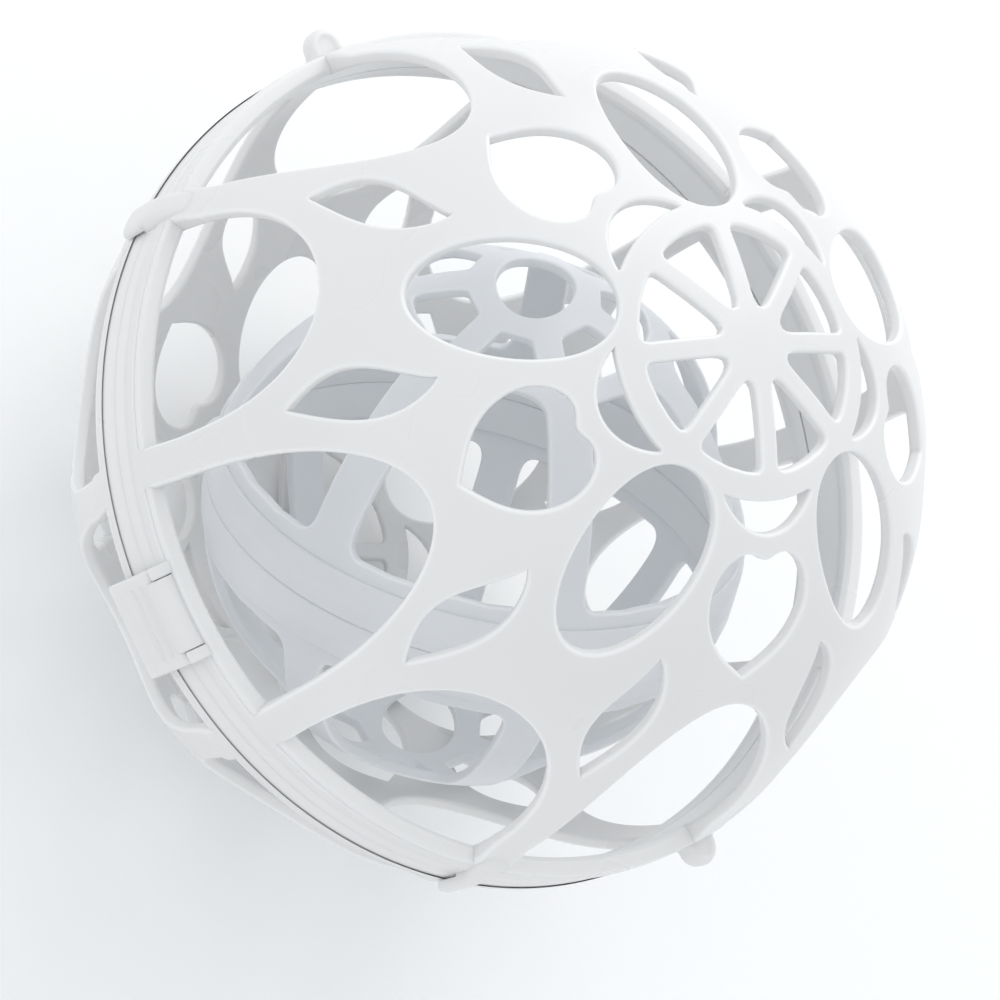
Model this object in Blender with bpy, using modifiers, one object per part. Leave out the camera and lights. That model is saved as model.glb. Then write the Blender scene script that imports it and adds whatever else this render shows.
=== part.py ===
"""Delicates wash ball: two openwork shells, hinged and clasped at their seam, hold a loose openwork inner ball.

Run it with blender --background --python part.py. Lengths are metres and angles are degrees. +Z is up, the ball
stands on the flat pad at its lower pole, the clasp faces -Y and the hinge is at +Y. Directions on a ball are given
by theta, the angle from its pole, and psi, the angle round the pole, which starts at the clasp.
"""

import math

import bmesh
import bpy
from mathutils import Matrix, Vector
from mathutils.geometry import delaunay_2d_cdt

# Outer ball
BALL_RADIUS = 0.0825
SHELL_WALL = 0.0026
PAD_RADIUS = 0.0050
PAD_HEIGHT = 0.0015
SEAM_GAP = 0.0003
ROUND_STEPS = 60

# Openwork of one outer shell, in degrees from the pole and round it
FOLDS = 5
SPOKES = 8
WHEEL_TURN = 4.6
SPOKE_HALF = 1.30
WHEEL_EDGE = 16.1
CRESCENT_START = 19.6
CRESCENT_DEPTH = 4.0
CRESCENT_HALF = 20.9
ELLIPSE_MIDDLE = 31.9
ELLIPSE_LENGTH = 26.2
ELLIPSE_WIDTH = 15.8
HEART_MIDDLE = 32.9
HEART_RADIUS = 7.5
HEART_NOTCH = 1.6
HEART_TIP = 2.2
LEAF_START = 41.4
LEAF_END = 60.9
LEAF_HALF = 3.4
LEAF_TWIST = 0.09
LEAF_SHIFT = 1.7
LONG_TEAR_START = 46.9
SHORT_TEAR_START = 56.2
TEAR_HALF = 15.4
TEAR_ROUNDNESS = 3.5

# Rims of the outer shells
RIM_PROUD = 0.0010
RIM_INSET = 0.0002
UPPER_RIM_HEIGHT = 0.0090
LOWER_RIM_HEIGHT = 0.0088
RIM_BEVEL = 0.0010
BEAD_HEIGHT = 0.0013
GROOVE_DEPTH = 0.0006
GROOVE_WIDTH = 0.0005
LIP_HEIGHT = 0.0022
LIP_WALL = 0.0013
LIP_CLEARANCE = 0.00035
CORNER = 0.0004

# Fingers that lap the lower rim, and lugs to pull the halves apart
FINGER_PSI = 54.0
NARROW_FINGER = 0.0034
WIDE_FINGER = 0.0070
FINGER_WALL = 0.0018
FINGER_DROP = 0.0072
FINGER_RISE = 0.0078
FINGER_CLEARANCE = 0.0005
LUG_PSI = 90.0
LUG_WIDTH = 0.0080
LUG_REACH = 0.0056
LUG_FLARE = 0.0030
LUG_WALL = 0.0034
LUG_LIFT = 0.0022

# Hinge between the shells
HINGE_PIN_RADIUS = 0.00125
HINGE_BORE_CLEARANCE = 0.0001
KNUCKLE_RADIUS = 0.0030
KNUCKLE_CLEARANCE = 0.0004
KNUCKLE_GAP = 0.0003
MIDDLE_KNUCKLE = 0.0080
OUTER_KNUCKLE = 0.0055

# Clasp on the upper rim
CLASP_RISE = 0.0060
CLASP_PIN_RADIUS = 0.0009
CLASP_BORE_CLEARANCE = 0.0001
CLASP_BARREL_RADIUS = 0.0019
CLASP_BARREL_CLEARANCE = 0.00035
CLASP_BARREL_WIDTH = 0.0134
CLASP_PLATE_WIDTH = 0.0186
CLASP_PLATE_WALL = 0.0019
CLASP_SIDE_CLEARANCE = 0.0003
CLASP_LIFT = 0.0004
CLASP_NOSE = 0.0020
CLASP_NOSE_WALL = 0.0015
EAR_WALL = 0.0023
EAR_RADIUS = 0.0022

# Inner ball
INNER_RADIUS = 0.0540
INNER_WALL = 0.0022
INNER_REST_GAP = 0.0003
INNER_LEAN = 25.2
INNER_LEAN_PSI = 119.6
INNER_TILT = 44.5
INNER_TURN = -14.2
INNER_SPIN = 45.0
INNER_ROUND_STEPS = 49
INNER_WINDOWS = 7
INNER_POLE_LENGTH = 28.0
INNER_POLE_WIDTH = 16.4
ROSETTE_START = 14.4
ROSETTE_END = 26.0
ROSETTE_RIB = 3.0
ROSETTE_STRETCH = 0.5
WINDOW_START = 34.5
WINDOW_END = 77.5
WINDOW_RIB = 4.6
WINDOW_CORNER = 6.0
INNER_BAND_HEIGHT = 0.0090
INNER_BAND_PROUD = 0.0005
INNER_LIP_HEIGHT = 0.0016
INNER_LIP_WALL = 0.0009

GRID_STEP = 5.4
GRID_MARGIN = 2.3
OVERLAP = 0.0006


def rotated(points, turn):
    """Flat points turned about the origin."""
    c = math.cos(math.radians(turn))
    s = math.sin(math.radians(turn))
    return [(u * c - v * s, u * s + v * c) for u, v in points]


def flat(theta, psi):
    """The flat pattern's point for a direction: theta outwards from the pole, psi round it."""
    return (theta * math.cos(math.radians(psi)), theta * math.sin(math.radians(psi)))


def flat_arc(theta, arc):
    """The same with the sideways distance given as degrees of arc on the ball."""
    return flat(theta, arc / math.sin(math.radians(theta)))


def rounded(corners, radii, steps):
    """A polygon whose corners are replaced by arcs of the given radii, as quadratic curves."""
    points = []
    for i, (corner, radius) in enumerate(zip(corners, radii)):
        here = Vector(corner)
        if radius == 0:
            points.append(corner)
            continue
        before = Vector(corners[i - 1]) - here
        after = Vector(corners[(i + 1) % len(corners)]) - here
        half = before.angle(after) / 2
        reach = min(radius / math.tan(half), 0.49 * before.length, 0.49 * after.length)
        start = here + before.normalized() * reach
        end = here + after.normalized() * reach
        for k in range(steps + 1):
            t = k / steps
            bend = start * (1 - t) ** 2 + here * 2 * t * (1 - t) + end * t * t
            points.append((bend.x, bend.y))
    return points


def sector_hole(start, end, count, rib_half, radii, steps, bow=0):
    """A hole between two ribs of even width and two rings round the pole."""
    half = 180 / count

    def corner(theta):
        return flat(theta, half - math.degrees(rib_half / math.degrees(math.sin(math.radians(theta)))))

    inner = corner(start)
    outer = corner(end)
    corners = [inner, outer]
    round_at = [radii[0], radii[1]]
    for k in range(1, bow + 1):
        share = 1 - 2 * k / (bow + 1)
        psi = math.degrees(math.atan2(outer[1], outer[0])) * share
        corners.append(flat(end, psi))
        round_at.append(0)
    corners += [(outer[0], -outer[1]), (inner[0], -inner[1])]
    round_at += [radii[1], radii[0]]
    return rounded(corners, round_at, steps)


def wheel_hole():
    """One of the round-cornered triangles between the spokes."""
    half = math.radians(180 / SPOKES)
    apex = SPOKE_HALF / math.sin(half)
    side = math.degrees(half - math.asin(SPOKE_HALF / WHEEL_EDGE))
    corners = [(apex, 0), flat(WHEEL_EDGE, -side), (WHEEL_EDGE, 0), flat(WHEEL_EDGE, side)]
    return rounded(corners, [1.4, 1.5, 0, 1.5], 2)


def crescent():
    """A sliver that hugs the wheel."""
    points = []
    for k in range(7):
        share = k / 3 - 1
        bulge = CRESCENT_DEPTH * math.cos(math.pi / 2 * share) ** 0.9
        points.append(flat(CRESCENT_START + bulge, CRESCENT_HALF * share))
    for k in range(1, 4):
        points.append(flat(CRESCENT_START, CRESCENT_HALF * (1 - k / 2)))
    return points


def ellipse():
    points = []
    for k in range(18):
        turn = math.tau * k / 18
        theta = ELLIPSE_MIDDLE + ELLIPSE_LENGTH / 2 * math.cos(turn)
        points.append(flat_arc(theta, ELLIPSE_WIDTH / 2 * math.sin(turn)))
    return points


def heart():
    """A round outline with a shallow notch towards the pole and a drawn-out tip away from it."""
    points = []
    for turn in (0, 16, 36, 60, 85, 110, 135, 157, 180, 203, 225, 250, 275, 300, 324, 344):
        away = min(turn, 360 - turn)
        notch = HEART_NOTCH * math.exp(-((away / 17) ** 2))
        tip = HEART_TIP * math.exp((away - 180) / 18)
        reach = HEART_RADIUS - notch + tip
        theta = HEART_MIDDLE - reach * math.cos(math.radians(turn))
        points.append(flat_arc(theta, reach * math.sin(math.radians(turn))))
    return points


def leaf():
    """A pointed leaf with each side's bulge set off towards the other end."""
    points = []
    for side in (-1, 1):
        peak = 0.5 - side * LEAF_TWIST
        power = math.log(0.5) / math.log(peak)
        for k in range(6):
            share = k / 6 if side < 0 else 1 - k / 6
            theta = LEAF_START + (LEAF_END - LEAF_START) * share
            swell = math.sin(math.pi * share**power) if 0 < share < 1 else 0
            points.append(flat_arc(theta, side * LEAF_HALF * swell))
    return points


def teardrop(start, end):
    """An arch with its round end towards the pole, open to the rim, which closes it."""
    sides = []
    for turn in (0, 16, 33, 50, 66, 80, 90):
        theta = end - (end - start) * math.cos(math.radians(turn)) ** (2 / TEAR_ROUNDNESS)
        sides.append((theta, TEAR_HALF * math.sin(math.radians(turn))))
    points = [flat(theta, -psi) for theta, psi in reversed(sides)]
    points += [flat(theta, psi) for theta, psi in sides[1:]]
    return points + [flat(end, TEAR_HALF / 3), flat(end, -TEAR_HALF / 3)]


def outer_pattern(tear_end):
    """Every hole of an outer shell, as flat outlines."""
    sector = 360 / FOLDS
    holes = [rotated(wheel_hole(), WHEEL_TURN + 360 / SPOKES * k) for k in range(SPOKES)]
    for k in range(FOLDS):
        holes.append(rotated(crescent(), sector * k))
        holes.append(rotated(heart(), sector * k))
        holes.append(rotated(teardrop(LONG_TEAR_START, tear_end), sector * k))
        holes.append(rotated(ellipse(), sector * (k + 0.5)))
        holes.append(rotated(teardrop(SHORT_TEAR_START, tear_end), sector * (k + 0.5)))
        holes.append(rotated(leaf(), sector * (k + 0.25) + LEAF_SHIFT))
        holes.append(rotated(leaf(), sector * (k + 0.75) - LEAF_SHIFT))
    return holes


def stretched(points):
    """The points drawn out along psi 0, most at the pole and not at all where the windows start."""
    drawn = []
    for u, v in points:
        share = max(0, 1 - (u * u + v * v) / WINDOW_START**2)
        drawn.append((u * (1 + ROSETTE_STRETCH * share), v))
    return drawn


def inner_pattern():
    """Every hole of an inner half: the pole's round hole, a rosette and tall windows."""
    pole = [flat(1, 360 * k / 16) for k in range(16)]
    holes = [[(u * INNER_POLE_LENGTH / 2, v * INNER_POLE_WIDTH / 2) for u, v in pole]]
    small = sector_hole(ROSETTE_START, ROSETTE_END, INNER_WINDOWS, ROSETTE_RIB, (1.6, 2.6), 2)
    tall = sector_hole(WINDOW_START, WINDOW_END, INNER_WINDOWS, WINDOW_RIB, (WINDOW_CORNER, 5.0), 3, 1)
    for k in range(INNER_WINDOWS):
        holes.append(stretched(rotated(small, 360 / INNER_WINDOWS * k)))
        holes.append(rotated(tall, 360 / INNER_WINDOWS * k))
    return holes


def inside(point, outline):
    """Whether a flat point lies inside an outline."""
    x, y = point
    found = False
    for (x1, y1), (x2, y2) in zip(outline, outline[1:] + outline[:1]):
        if (y1 > y) != (y2 > y) and x < (x2 - x1) * (y - y1) / (y2 - y1) + x1:
            found = not found
    return found


def grid_points(holes, edge):
    """Points between the holes, on a triangular grid, that let the flat sheet bend into a dome."""
    rims = [Vector(p) for outline in holes for p in outline]
    points = []
    rows = int(edge / GRID_STEP) + 1
    for j in range(-rows, rows + 1):
        for i in range(-rows - 1, rows + 1):
            point = Vector((GRID_STEP * (i + 0.5 * (j % 2)), GRID_STEP * j * math.sqrt(0.75)))
            if point.length > edge - GRID_MARGIN:
                continue
            if any((point - p).length < GRID_MARGIN for p in rims):
                continue
            if any(inside(point, outline) for outline in holes):
                continue
            points.append((point.x, point.y))
    return points


def direction(theta, psi):
    """The unit vector of a direction on the ball."""
    across = math.sin(math.radians(theta))
    turn = math.radians(psi)
    return Vector((across * math.sin(turn), -across * math.cos(turn), math.cos(math.radians(theta))))


def dome(name, radius, wall, holes, edge, steps):
    """An openwork dome: the pattern is triangulated flat, bent onto the ball and thickened towards its centre."""
    border = [flat(edge, 360 * k / steps) for k in range(steps)]
    points = []
    edges = []
    for outline in [border] + holes:
        first = len(points)
        count = len(outline)
        points += outline
        edges += [(first + k, first + (k + 1) % count) for k in range(count)]
    points += grid_points(holes, edge)
    made = delaunay_2d_cdt([Vector(p) for p in points], edges, [], 0, 1e-7)
    mesh_points, faces = made[0], made[2]
    bm = bmesh.new()
    for point in mesh_points:
        psi = math.degrees(math.atan2(point.y, point.x))
        bm.verts.new(direction(point.length, psi) * radius)
    bm.verts.ensure_lookup_table()
    for face in faces:
        middle = sum((mesh_points[i] for i in face), Vector((0, 0))) / len(face)
        if inside(middle, border) and not any(inside(middle, outline) for outline in holes):
            bm.faces.new([bm.verts[i] for i in face])
    loose = [v for v in bm.verts if not v.link_faces]
    bmesh.ops.delete(bm, geom=loose, context="VERTS")
    thick = bmesh.ops.extrude_face_region(bm, geom=bm.faces[:], use_keep_orig=True)
    inner_points = [v for v in thick["geom"] if isinstance(v, bmesh.types.BMVert)]
    bmesh.ops.scale(bm, vec=Vector((1, 1, 1)) * (radius - wall) / radius, verts=inner_points)
    return finish_mesh(name, bm)


def finish_mesh(name, bm):
    """A new object from a bmesh, with its normals outwards."""
    bmesh.ops.recalc_face_normals(bm, faces=bm.faces[:])
    mesh = bpy.data.meshes.new(name)
    bm.to_mesh(mesh)
    bm.free()
    return bpy.data.objects.new(name, mesh)


def turned(name, profile, steps):
    """A ring: a closed (radius, z) profile turned round Z by a Screw modifier."""
    bm = bmesh.new()
    corners = [bm.verts.new((0, -r, z)) for r, z in profile]
    for k, corner in enumerate(corners):
        bm.edges.new((corner, corners[(k + 1) % len(corners)]))
    mesh = bpy.data.meshes.new(name)
    bm.to_mesh(mesh)
    bm.free()
    ring = bpy.data.objects.new(name, mesh)
    screw = ring.modifiers.new("turn", "SCREW")
    screw.axis = "Z"
    screw.steps = steps
    screw.render_steps = steps
    screw.use_merge_vertices = True
    screw.merge_threshold = 0.00001
    screw.use_normal_calculate = True
    return ring


def prism(name, outline, low, high, frame):
    """A flat outline in (a, b) pushed out from low to high along c, then placed by frame."""
    bm = bmesh.new()
    face = bm.faces.new([bm.verts.new((a, b, low)) for a, b in outline])
    pushed = bmesh.ops.extrude_face_region(bm, geom=[face], use_keep_orig=True)
    top = [v for v in pushed["geom"] if isinstance(v, bmesh.types.BMVert)]
    bmesh.ops.translate(bm, vec=(0, 0, high - low), verts=top)
    bmesh.ops.transform(bm, matrix=frame, verts=bm.verts[:])
    return finish_mesh(name, bm)


def rod(name, radius, length, centre, sides):
    """A round rod along X."""
    bm = bmesh.new()
    bmesh.ops.create_cone(bm, cap_ends=True, segments=sides, radius1=radius, radius2=radius, depth=length)
    place = Matrix.Translation(centre) @ Matrix.Rotation(math.pi / 2, 4, "Y")
    bmesh.ops.transform(bm, matrix=place, verts=bm.verts[:])
    return finish_mesh(name, bm)


def disc_outline(centre, radius, start, end, steps):
    """Points of an arc about a centre, from one angle to another."""
    points = []
    for k in range(steps + 1):
        turn = math.radians(start + (end - start) * k / steps)
        points.append((centre[0] + radius * math.cos(turn), centre[1] + radius * math.sin(turn)))
    return points


def side_frame(psi):
    """A frame for side profiles: a runs outwards at psi, b up, and c sideways, against psi."""
    out = direction(90, psi)
    up = Vector((0, 0, 1))
    across = out.cross(up)
    return Matrix((out, up, across)).transposed().to_4x4()


def front_frame(psi):
    """A frame for front views: a runs sideways, b up, and c outwards at psi."""
    out = direction(90, psi)
    up = Vector((0, 0, 1))
    return Matrix((up.cross(out), up, out)).transposed().to_4x4()


def add(target, tool, operation):
    """Joins a tool to a piece, or cuts it from the piece, with an exact Boolean."""
    tool.hide_render = True
    tool.display_type = "WIRE"
    helpers.objects.link(tool)
    tool.parent = target.parent
    tool.location = target.location
    tool.rotation_euler = target.rotation_euler
    step = target.modifiers.new(tool.name, "BOOLEAN")
    step.operation = operation
    step.solver = "EXACT"
    step.object = tool


def material(name, colour, roughness):
    made = bpy.data.materials.new(name)
    made.use_nodes = True
    shader = made.node_tree.nodes["Principled BSDF"]
    shader.inputs["Base Color"].default_value = (*colour, 1)
    shader.inputs["Roughness"].default_value = roughness
    shader.inputs["Metallic"].default_value = 0
    return made


def place(piece, parent, location, turn, finish):
    """Puts a finished piece in the model under the empty that carries it."""
    parts.objects.link(piece)
    piece.parent = parent
    piece.location = location
    piece.rotation_euler = turn
    piece.data.materials.append(finish)


def axis_empty(name, location, parent=None):
    """An empty that marks a joint's axis or a ball's centre."""
    marker = bpy.data.objects.new(name, None)
    parts.objects.link(marker)
    marker.location = location
    marker.parent = parent
    return marker


def smooth(piece):
    piece.data.shade_smooth()
    piece.data.set_sharp_from_angle(angle=math.radians(35))


def surface_radius(z):
    """The outer ball's radius at a height over its centre."""
    return math.sqrt(BALL_RADIUS**2 - z**2)


def upper_rim_profile():
    """Bead, groove, plain band and the lip that enters the lower rim."""
    half_gap = SEAM_GAP / 2
    band_top = UPPER_RIM_HEIGHT - BEAD_HEIGHT - GROOVE_WIDTH
    inside_radius = RIM_INNER_RADIUS
    lip_outside = inside_radius + LIP_WALL
    return [
        (surface_radius(UPPER_RIM_HEIGHT) + RIM_PROUD / 2, UPPER_RIM_HEIGHT),
        (surface_radius(UPPER_RIM_HEIGHT) + RIM_PROUD + CORNER, UPPER_RIM_HEIGHT - CORNER),
        (surface_radius(band_top) + RIM_PROUD + CORNER, UPPER_RIM_HEIGHT - BEAD_HEIGHT),
        (surface_radius(band_top) + RIM_PROUD - GROOVE_DEPTH, band_top + GROOVE_WIDTH / 2),
        (surface_radius(band_top) + RIM_PROUD, band_top),
        (RIM_RADIUS, band_top / 2),
        (RIM_RADIUS, half_gap + CORNER),
        (RIM_RADIUS - CORNER, half_gap),
        (lip_outside, half_gap),
        (lip_outside - CORNER / 2, -LIP_HEIGHT),
        (inside_radius, -LIP_HEIGHT),
        (inside_radius, UPPER_RIM_HEIGHT - RIM_BEVEL),
        (inside_radius + RIM_BEVEL, UPPER_RIM_HEIGHT),
    ]


def lower_rim_profile():
    """Plain band with a rebate for the upper rim's lip, drawn with its seam face up."""
    half_gap = SEAM_GAP / 2
    rebate = RIM_INNER_RADIUS + LIP_WALL + LIP_CLEARANCE
    return [
        (rebate, -half_gap),
        (RIM_RADIUS - CORNER, -half_gap),
        (RIM_RADIUS, -half_gap - CORNER),
        (RIM_RADIUS, -LOWER_RIM_HEIGHT / 2),
        (surface_radius(LOWER_RIM_HEIGHT) + RIM_PROUD, -LOWER_RIM_HEIGHT + CORNER),
        (surface_radius(LOWER_RIM_HEIGHT) + RIM_PROUD / 2, -LOWER_RIM_HEIGHT),
        (RIM_INNER_RADIUS + RIM_BEVEL, -LOWER_RIM_HEIGHT),
        (RIM_INNER_RADIUS, -LOWER_RIM_HEIGHT + RIM_BEVEL),
        (RIM_INNER_RADIUS, -LIP_HEIGHT - LIP_CLEARANCE - half_gap),
        (rebate, -LIP_HEIGHT - LIP_CLEARANCE - half_gap),
    ]


def finger(psi, width):
    """A tab that runs down from a rib, over the seam and outside the lower rim."""
    inner_face = RIM_RADIUS + FINGER_CLEARANCE
    outer_face = inner_face + FINGER_WALL
    slope = FINGER_WALL / 3
    profile = [
        (RIM_RADIUS - 2 * OVERLAP, SEAM_GAP),
        (inner_face, SEAM_GAP),
        (inner_face, -FINGER_DROP + slope / 2),
        (inner_face + slope / 2, -FINGER_DROP),
        (outer_face - slope, -FINGER_DROP),
        (outer_face, -FINGER_DROP + slope),
        (outer_face, FINGER_RISE / 4),
        (surface_radius(FINGER_RISE) + RIM_PROUD / 2, FINGER_RISE),
        (surface_radius(FINGER_RISE) - OVERLAP, FINGER_RISE),
    ]
    return prism(f"finger_{psi:.0f}", profile, -width, width, side_frame(psi))


def finger_front(psi, width):
    """The finger's front view, with its round corners, to trim it with."""
    half = width / 2
    corner = NARROW_FINGER / 2
    outline = disc_outline((corner - half, corner - FINGER_DROP), corner, 180, 270, 4)
    outline += disc_outline((half - corner + OVERLAP / 10, corner - FINGER_DROP), corner, 270, 360, 4)
    outline += [(half, FINGER_RISE / 2), (half * 1.3, 2 * FINGER_RISE)]
    outline += [(-half * 1.3, 2 * FINGER_RISE), (-half, FINGER_RISE / 2)]
    low = BALL_RADIUS - SHELL_WALL
    return prism(f"finger_front_{psi:.0f}", outline, low, RIM_RADIUS + 3 * FINGER_WALL, front_frame(psi))


def lug(psi):
    """A rounded lug on the upper rim, with a hollow fillet on each side of its root."""
    half = LUG_WIDTH / 2
    reach = RIM_RADIUS + LUG_REACH
    root = math.sqrt(RIM_RADIUS**2 - (half + LUG_FLARE) ** 2) - OVERLAP
    side = [(half + LUG_FLARE, root), (half + 0.3 * LUG_FLARE, root + 0.3 * LUG_FLARE)]
    outline = side + disc_outline((0, reach - half), half, 0, 180, 8)
    outline += [(-x, y) for x, y in reversed(side)]
    bm_frame = Matrix.Rotation(math.radians(psi + 180), 4, "Z")
    low = SEAM_GAP / 2 + LUG_LIFT
    return prism(f"lug_{psi:.0f}", outline, low, low + LUG_WALL, bm_frame)


def knuckle(name, low, high, way):
    """A hinge knuckle with its foot on the rim above (way 1) or below (way -1) the seam."""
    centre = (HINGE_REACH, 0)
    foot = SEAM_GAP / 2 + KNUCKLE_CLEARANCE
    rim = RIM_RADIUS - 2 * OVERLAP
    outline = [(rim, foot), (rim, KNUCKLE_RADIUS * 1.5)]
    outline += [(HINGE_REACH - KNUCKLE_RADIUS * 0.2, KNUCKLE_RADIUS)]
    outline += disc_outline(centre, KNUCKLE_RADIUS, 80, -172, 12)
    if way < 0:
        outline = [(a, -b) for a, b in outline]
    return prism(name, outline, low, high, side_frame(180))


def ear(side):
    """A lug of the upper rim that carries one end of the clasp's pin."""
    low = CLASP_BARREL_WIDTH / 2 + CLASP_SIDE_CLEARANCE
    rim = RIM_RADIUS - 3 * OVERLAP
    outline = [(rim, CLASP_RISE - EAR_RADIUS), (CLASP_REACH, CLASP_RISE - EAR_RADIUS)]
    outline += disc_outline((CLASP_REACH, CLASP_RISE), EAR_RADIUS, -80, 80, 7)
    outline += [(rim, CLASP_RISE + EAR_RADIUS + OVERLAP)]
    span = sorted((side * low, side * (low + EAR_WALL)))
    return prism(f"ear_{'left' if side < 0 else 'right'}", outline, span[0], span[1], side_frame(0))


def clasp_piece():
    """The clasp: a barrel on the pin, a plate over both rims, and a nose that hooks under the lower rim."""
    inner_face = RIM_RADIUS + CLASP_LIFT
    outer_face = inner_face + CLASP_PLATE_WALL
    shoulder = CLASP_RISE - EAR_RADIUS - CLASP_SIDE_CLEARANCE
    bend = -LOWER_RIM_HEIGHT / 2
    rim_edge = surface_radius(LOWER_RIM_HEIGHT) + RIM_PROUD + CLASP_LIFT
    hook = -LOWER_RIM_HEIGHT - CLASP_LIFT
    foot = hook - CLASP_NOSE_WALL
    plate = [
        (inner_face, shoulder),
        (inner_face, bend),
        (rim_edge, hook + 2 * CORNER),
        (rim_edge - CORNER, hook),
        (rim_edge - CLASP_NOSE, hook - CORNER / 2),
        (rim_edge - CLASP_NOSE, foot + 2 * CORNER),
        (rim_edge - CLASP_NOSE / 2, foot),
        (rim_edge + CLASP_PLATE_WALL, foot),
        (rim_edge + CLASP_PLATE_WALL + CORNER, foot + 2 * CORNER),
        (rim_edge + CLASP_PLATE_WALL, hook + 4 * CORNER),
        (outer_face, bend + CORNER),
        (outer_face, shoulder - CLASP_PLATE_WALL / 3),
        (outer_face - CLASP_PLATE_WALL / 3, shoulder),
    ]
    piece = prism("clasp", plate, -CLASP_PLATE_WIDTH / 2, CLASP_PLATE_WIDTH / 2, side_frame(0))
    neck = [(inner_face + CORNER, 0), (outer_face - CORNER, 0)]
    neck += disc_outline((CLASP_REACH, CLASP_RISE), CLASP_BARREL_RADIUS, -10, 260, 13)
    neck += [(inner_face + CORNER, CLASP_RISE - CLASP_BARREL_RADIUS)]
    half = CLASP_BARREL_WIDTH / 2
    return piece, prism("clasp_barrel", neck, -half, half, side_frame(0))


def grip(index):
    """A low rib across the clasp's plate."""
    outer_face = RIM_RADIUS + CLASP_LIFT + CLASP_PLATE_WALL
    middle = (outer_face - OVERLAP / 3, SEAM_GAP - 5 * OVERLAP * index)
    outline = disc_outline(middle, OVERLAP * 1.2, 0, 315, 7)
    half = CLASP_PLATE_WIDTH / 2 - CLASP_PLATE_WALL
    return prism(f"grip_{index}", outline, -half, half, side_frame(0))


def inner_band_profile(lip_way):
    """The band at the inner ball's seam, with a lip on one half and its rebate on the other."""
    half_gap = SEAM_GAP / 2
    outside = INNER_RADIUS + INNER_BAND_PROUD
    inside_radius = INNER_RADIUS - INNER_WALL - INNER_BAND_PROUD
    lip = inside_radius + INNER_LIP_WALL
    top = [
        (math.sqrt(INNER_RADIUS**2 - INNER_BAND_HEIGHT**2) + INNER_BAND_PROUD, INNER_BAND_HEIGHT),
        (outside, INNER_BAND_HEIGHT / 2),
        (outside, half_gap),
    ]
    if lip_way > 0:
        seam = [(lip, half_gap), (lip, -INNER_LIP_HEIGHT), (inside_radius, -INNER_LIP_HEIGHT)]
    else:
        rebate = lip + LIP_CLEARANCE
        floor = INNER_LIP_HEIGHT + LIP_CLEARANCE + half_gap
        seam = [(rebate, half_gap), (rebate, floor), (inside_radius, floor)]
    return top + seam + [(inside_radius - CORNER, INNER_BAND_HEIGHT - CORNER)]


for old in list(bpy.data.objects):
    bpy.data.objects.remove(old, do_unlink=True)

parts = bpy.data.collections.new("delicates_wash_ball")
helpers = bpy.data.collections.new("helpers")
bpy.context.scene.collection.children.link(parts)
bpy.context.scene.collection.children.link(helpers)
helpers.hide_render = True

# Sizes that several pieces share
RIM_RADIUS = BALL_RADIUS + RIM_PROUD
RIM_INNER_RADIUS = BALL_RADIUS - SHELL_WALL - RIM_INSET
HINGE_REACH = RIM_RADIUS + KNUCKLE_CLEARANCE + KNUCKLE_RADIUS
CLASP_REACH = RIM_RADIUS + CLASP_LIFT
INNER_DROP = BALL_RADIUS - SHELL_WALL - INNER_RADIUS - INNER_BAND_PROUD - INNER_REST_GAP

shell_plastic = material("white_polypropylene", (0.80, 0.82, 0.84), 0.34)
pin_plastic = material("white_acetal", (0.72, 0.74, 0.76), 0.28)

centre = Vector((0, 0, BALL_RADIUS))
lid_axis = axis_empty("lid_axis", centre + Vector((0, HINGE_REACH, 0)))
ball_centre = axis_empty("ball_centre", centre)
back = Vector((0, -HINGE_REACH, 0))


def dome_edge(rim_height):
    """The angle at which a dome ends, inside its rim."""
    return math.degrees(math.acos(rim_height * 0.5 / BALL_RADIUS))


def tear_end(rim_height):
    """The angle at which the teardrops end, hidden by the rim."""
    return math.degrees(math.acos(rim_height * 0.8 / BALL_RADIUS))


def outer_shell(name, rim_height, profile):
    holes = outer_pattern(tear_end(rim_height))
    shell = dome(name, BALL_RADIUS, SHELL_WALL, holes, dome_edge(rim_height), ROUND_STEPS)
    rim = turned(name + "_rim", profile, ROUND_STEPS)
    pad = prism(
        name + "_pad",
        disc_outline((0, 0), PAD_RADIUS, 0, 345, 23),
        BALL_RADIUS - PAD_HEIGHT,
        BALL_RADIUS,
        Matrix.Identity(4),
    )
    return shell, rim, pad


upper_shell, upper_rim, upper_pad = outer_shell("upper_shell", UPPER_RIM_HEIGHT, upper_rim_profile())
place(upper_shell, lid_axis, back, (0, 0, 0), shell_plastic)
for tool in (upper_rim, upper_pad, lug(LUG_PSI), lug(-LUG_PSI)):
    add(upper_shell, tool, "UNION")
for psi, width in ((FINGER_PSI, NARROW_FINGER), (-FINGER_PSI, WIDE_FINGER)):
    tab = finger(psi, width)
    add(upper_shell, tab, "UNION")
    add(tab, finger_front(psi, width), "INTERSECT")
add(upper_shell, knuckle("upper_knuckle", -MIDDLE_KNUCKLE / 2, MIDDLE_KNUCKLE / 2, 1), "UNION")

hinge_span = MIDDLE_KNUCKLE + 2 * (KNUCKLE_GAP + OUTER_KNUCKLE)
hinge_bore = HINGE_PIN_RADIUS + HINGE_BORE_CLEARANCE
hinge_at = Vector((0, HINGE_REACH, 0))
clasp_at = Vector((0, -CLASP_REACH, CLASP_RISE))
clasp_bore = CLASP_PIN_RADIUS + CLASP_BORE_CLEARANCE
ear_span = CLASP_BARREL_WIDTH + 2 * (CLASP_SIDE_CLEARANCE + EAR_WALL)
add(upper_shell, rod("upper_hinge_bore", hinge_bore, 2 * MIDDLE_KNUCKLE, hinge_at, 16), "DIFFERENCE")
pocket_width = CLASP_BARREL_WIDTH + 2 * CLASP_SIDE_CLEARANCE - OVERLAP / 5
pocket = rod("pocket", CLASP_BARREL_RADIUS + CLASP_BARREL_CLEARANCE, pocket_width, clasp_at, 20)
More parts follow.
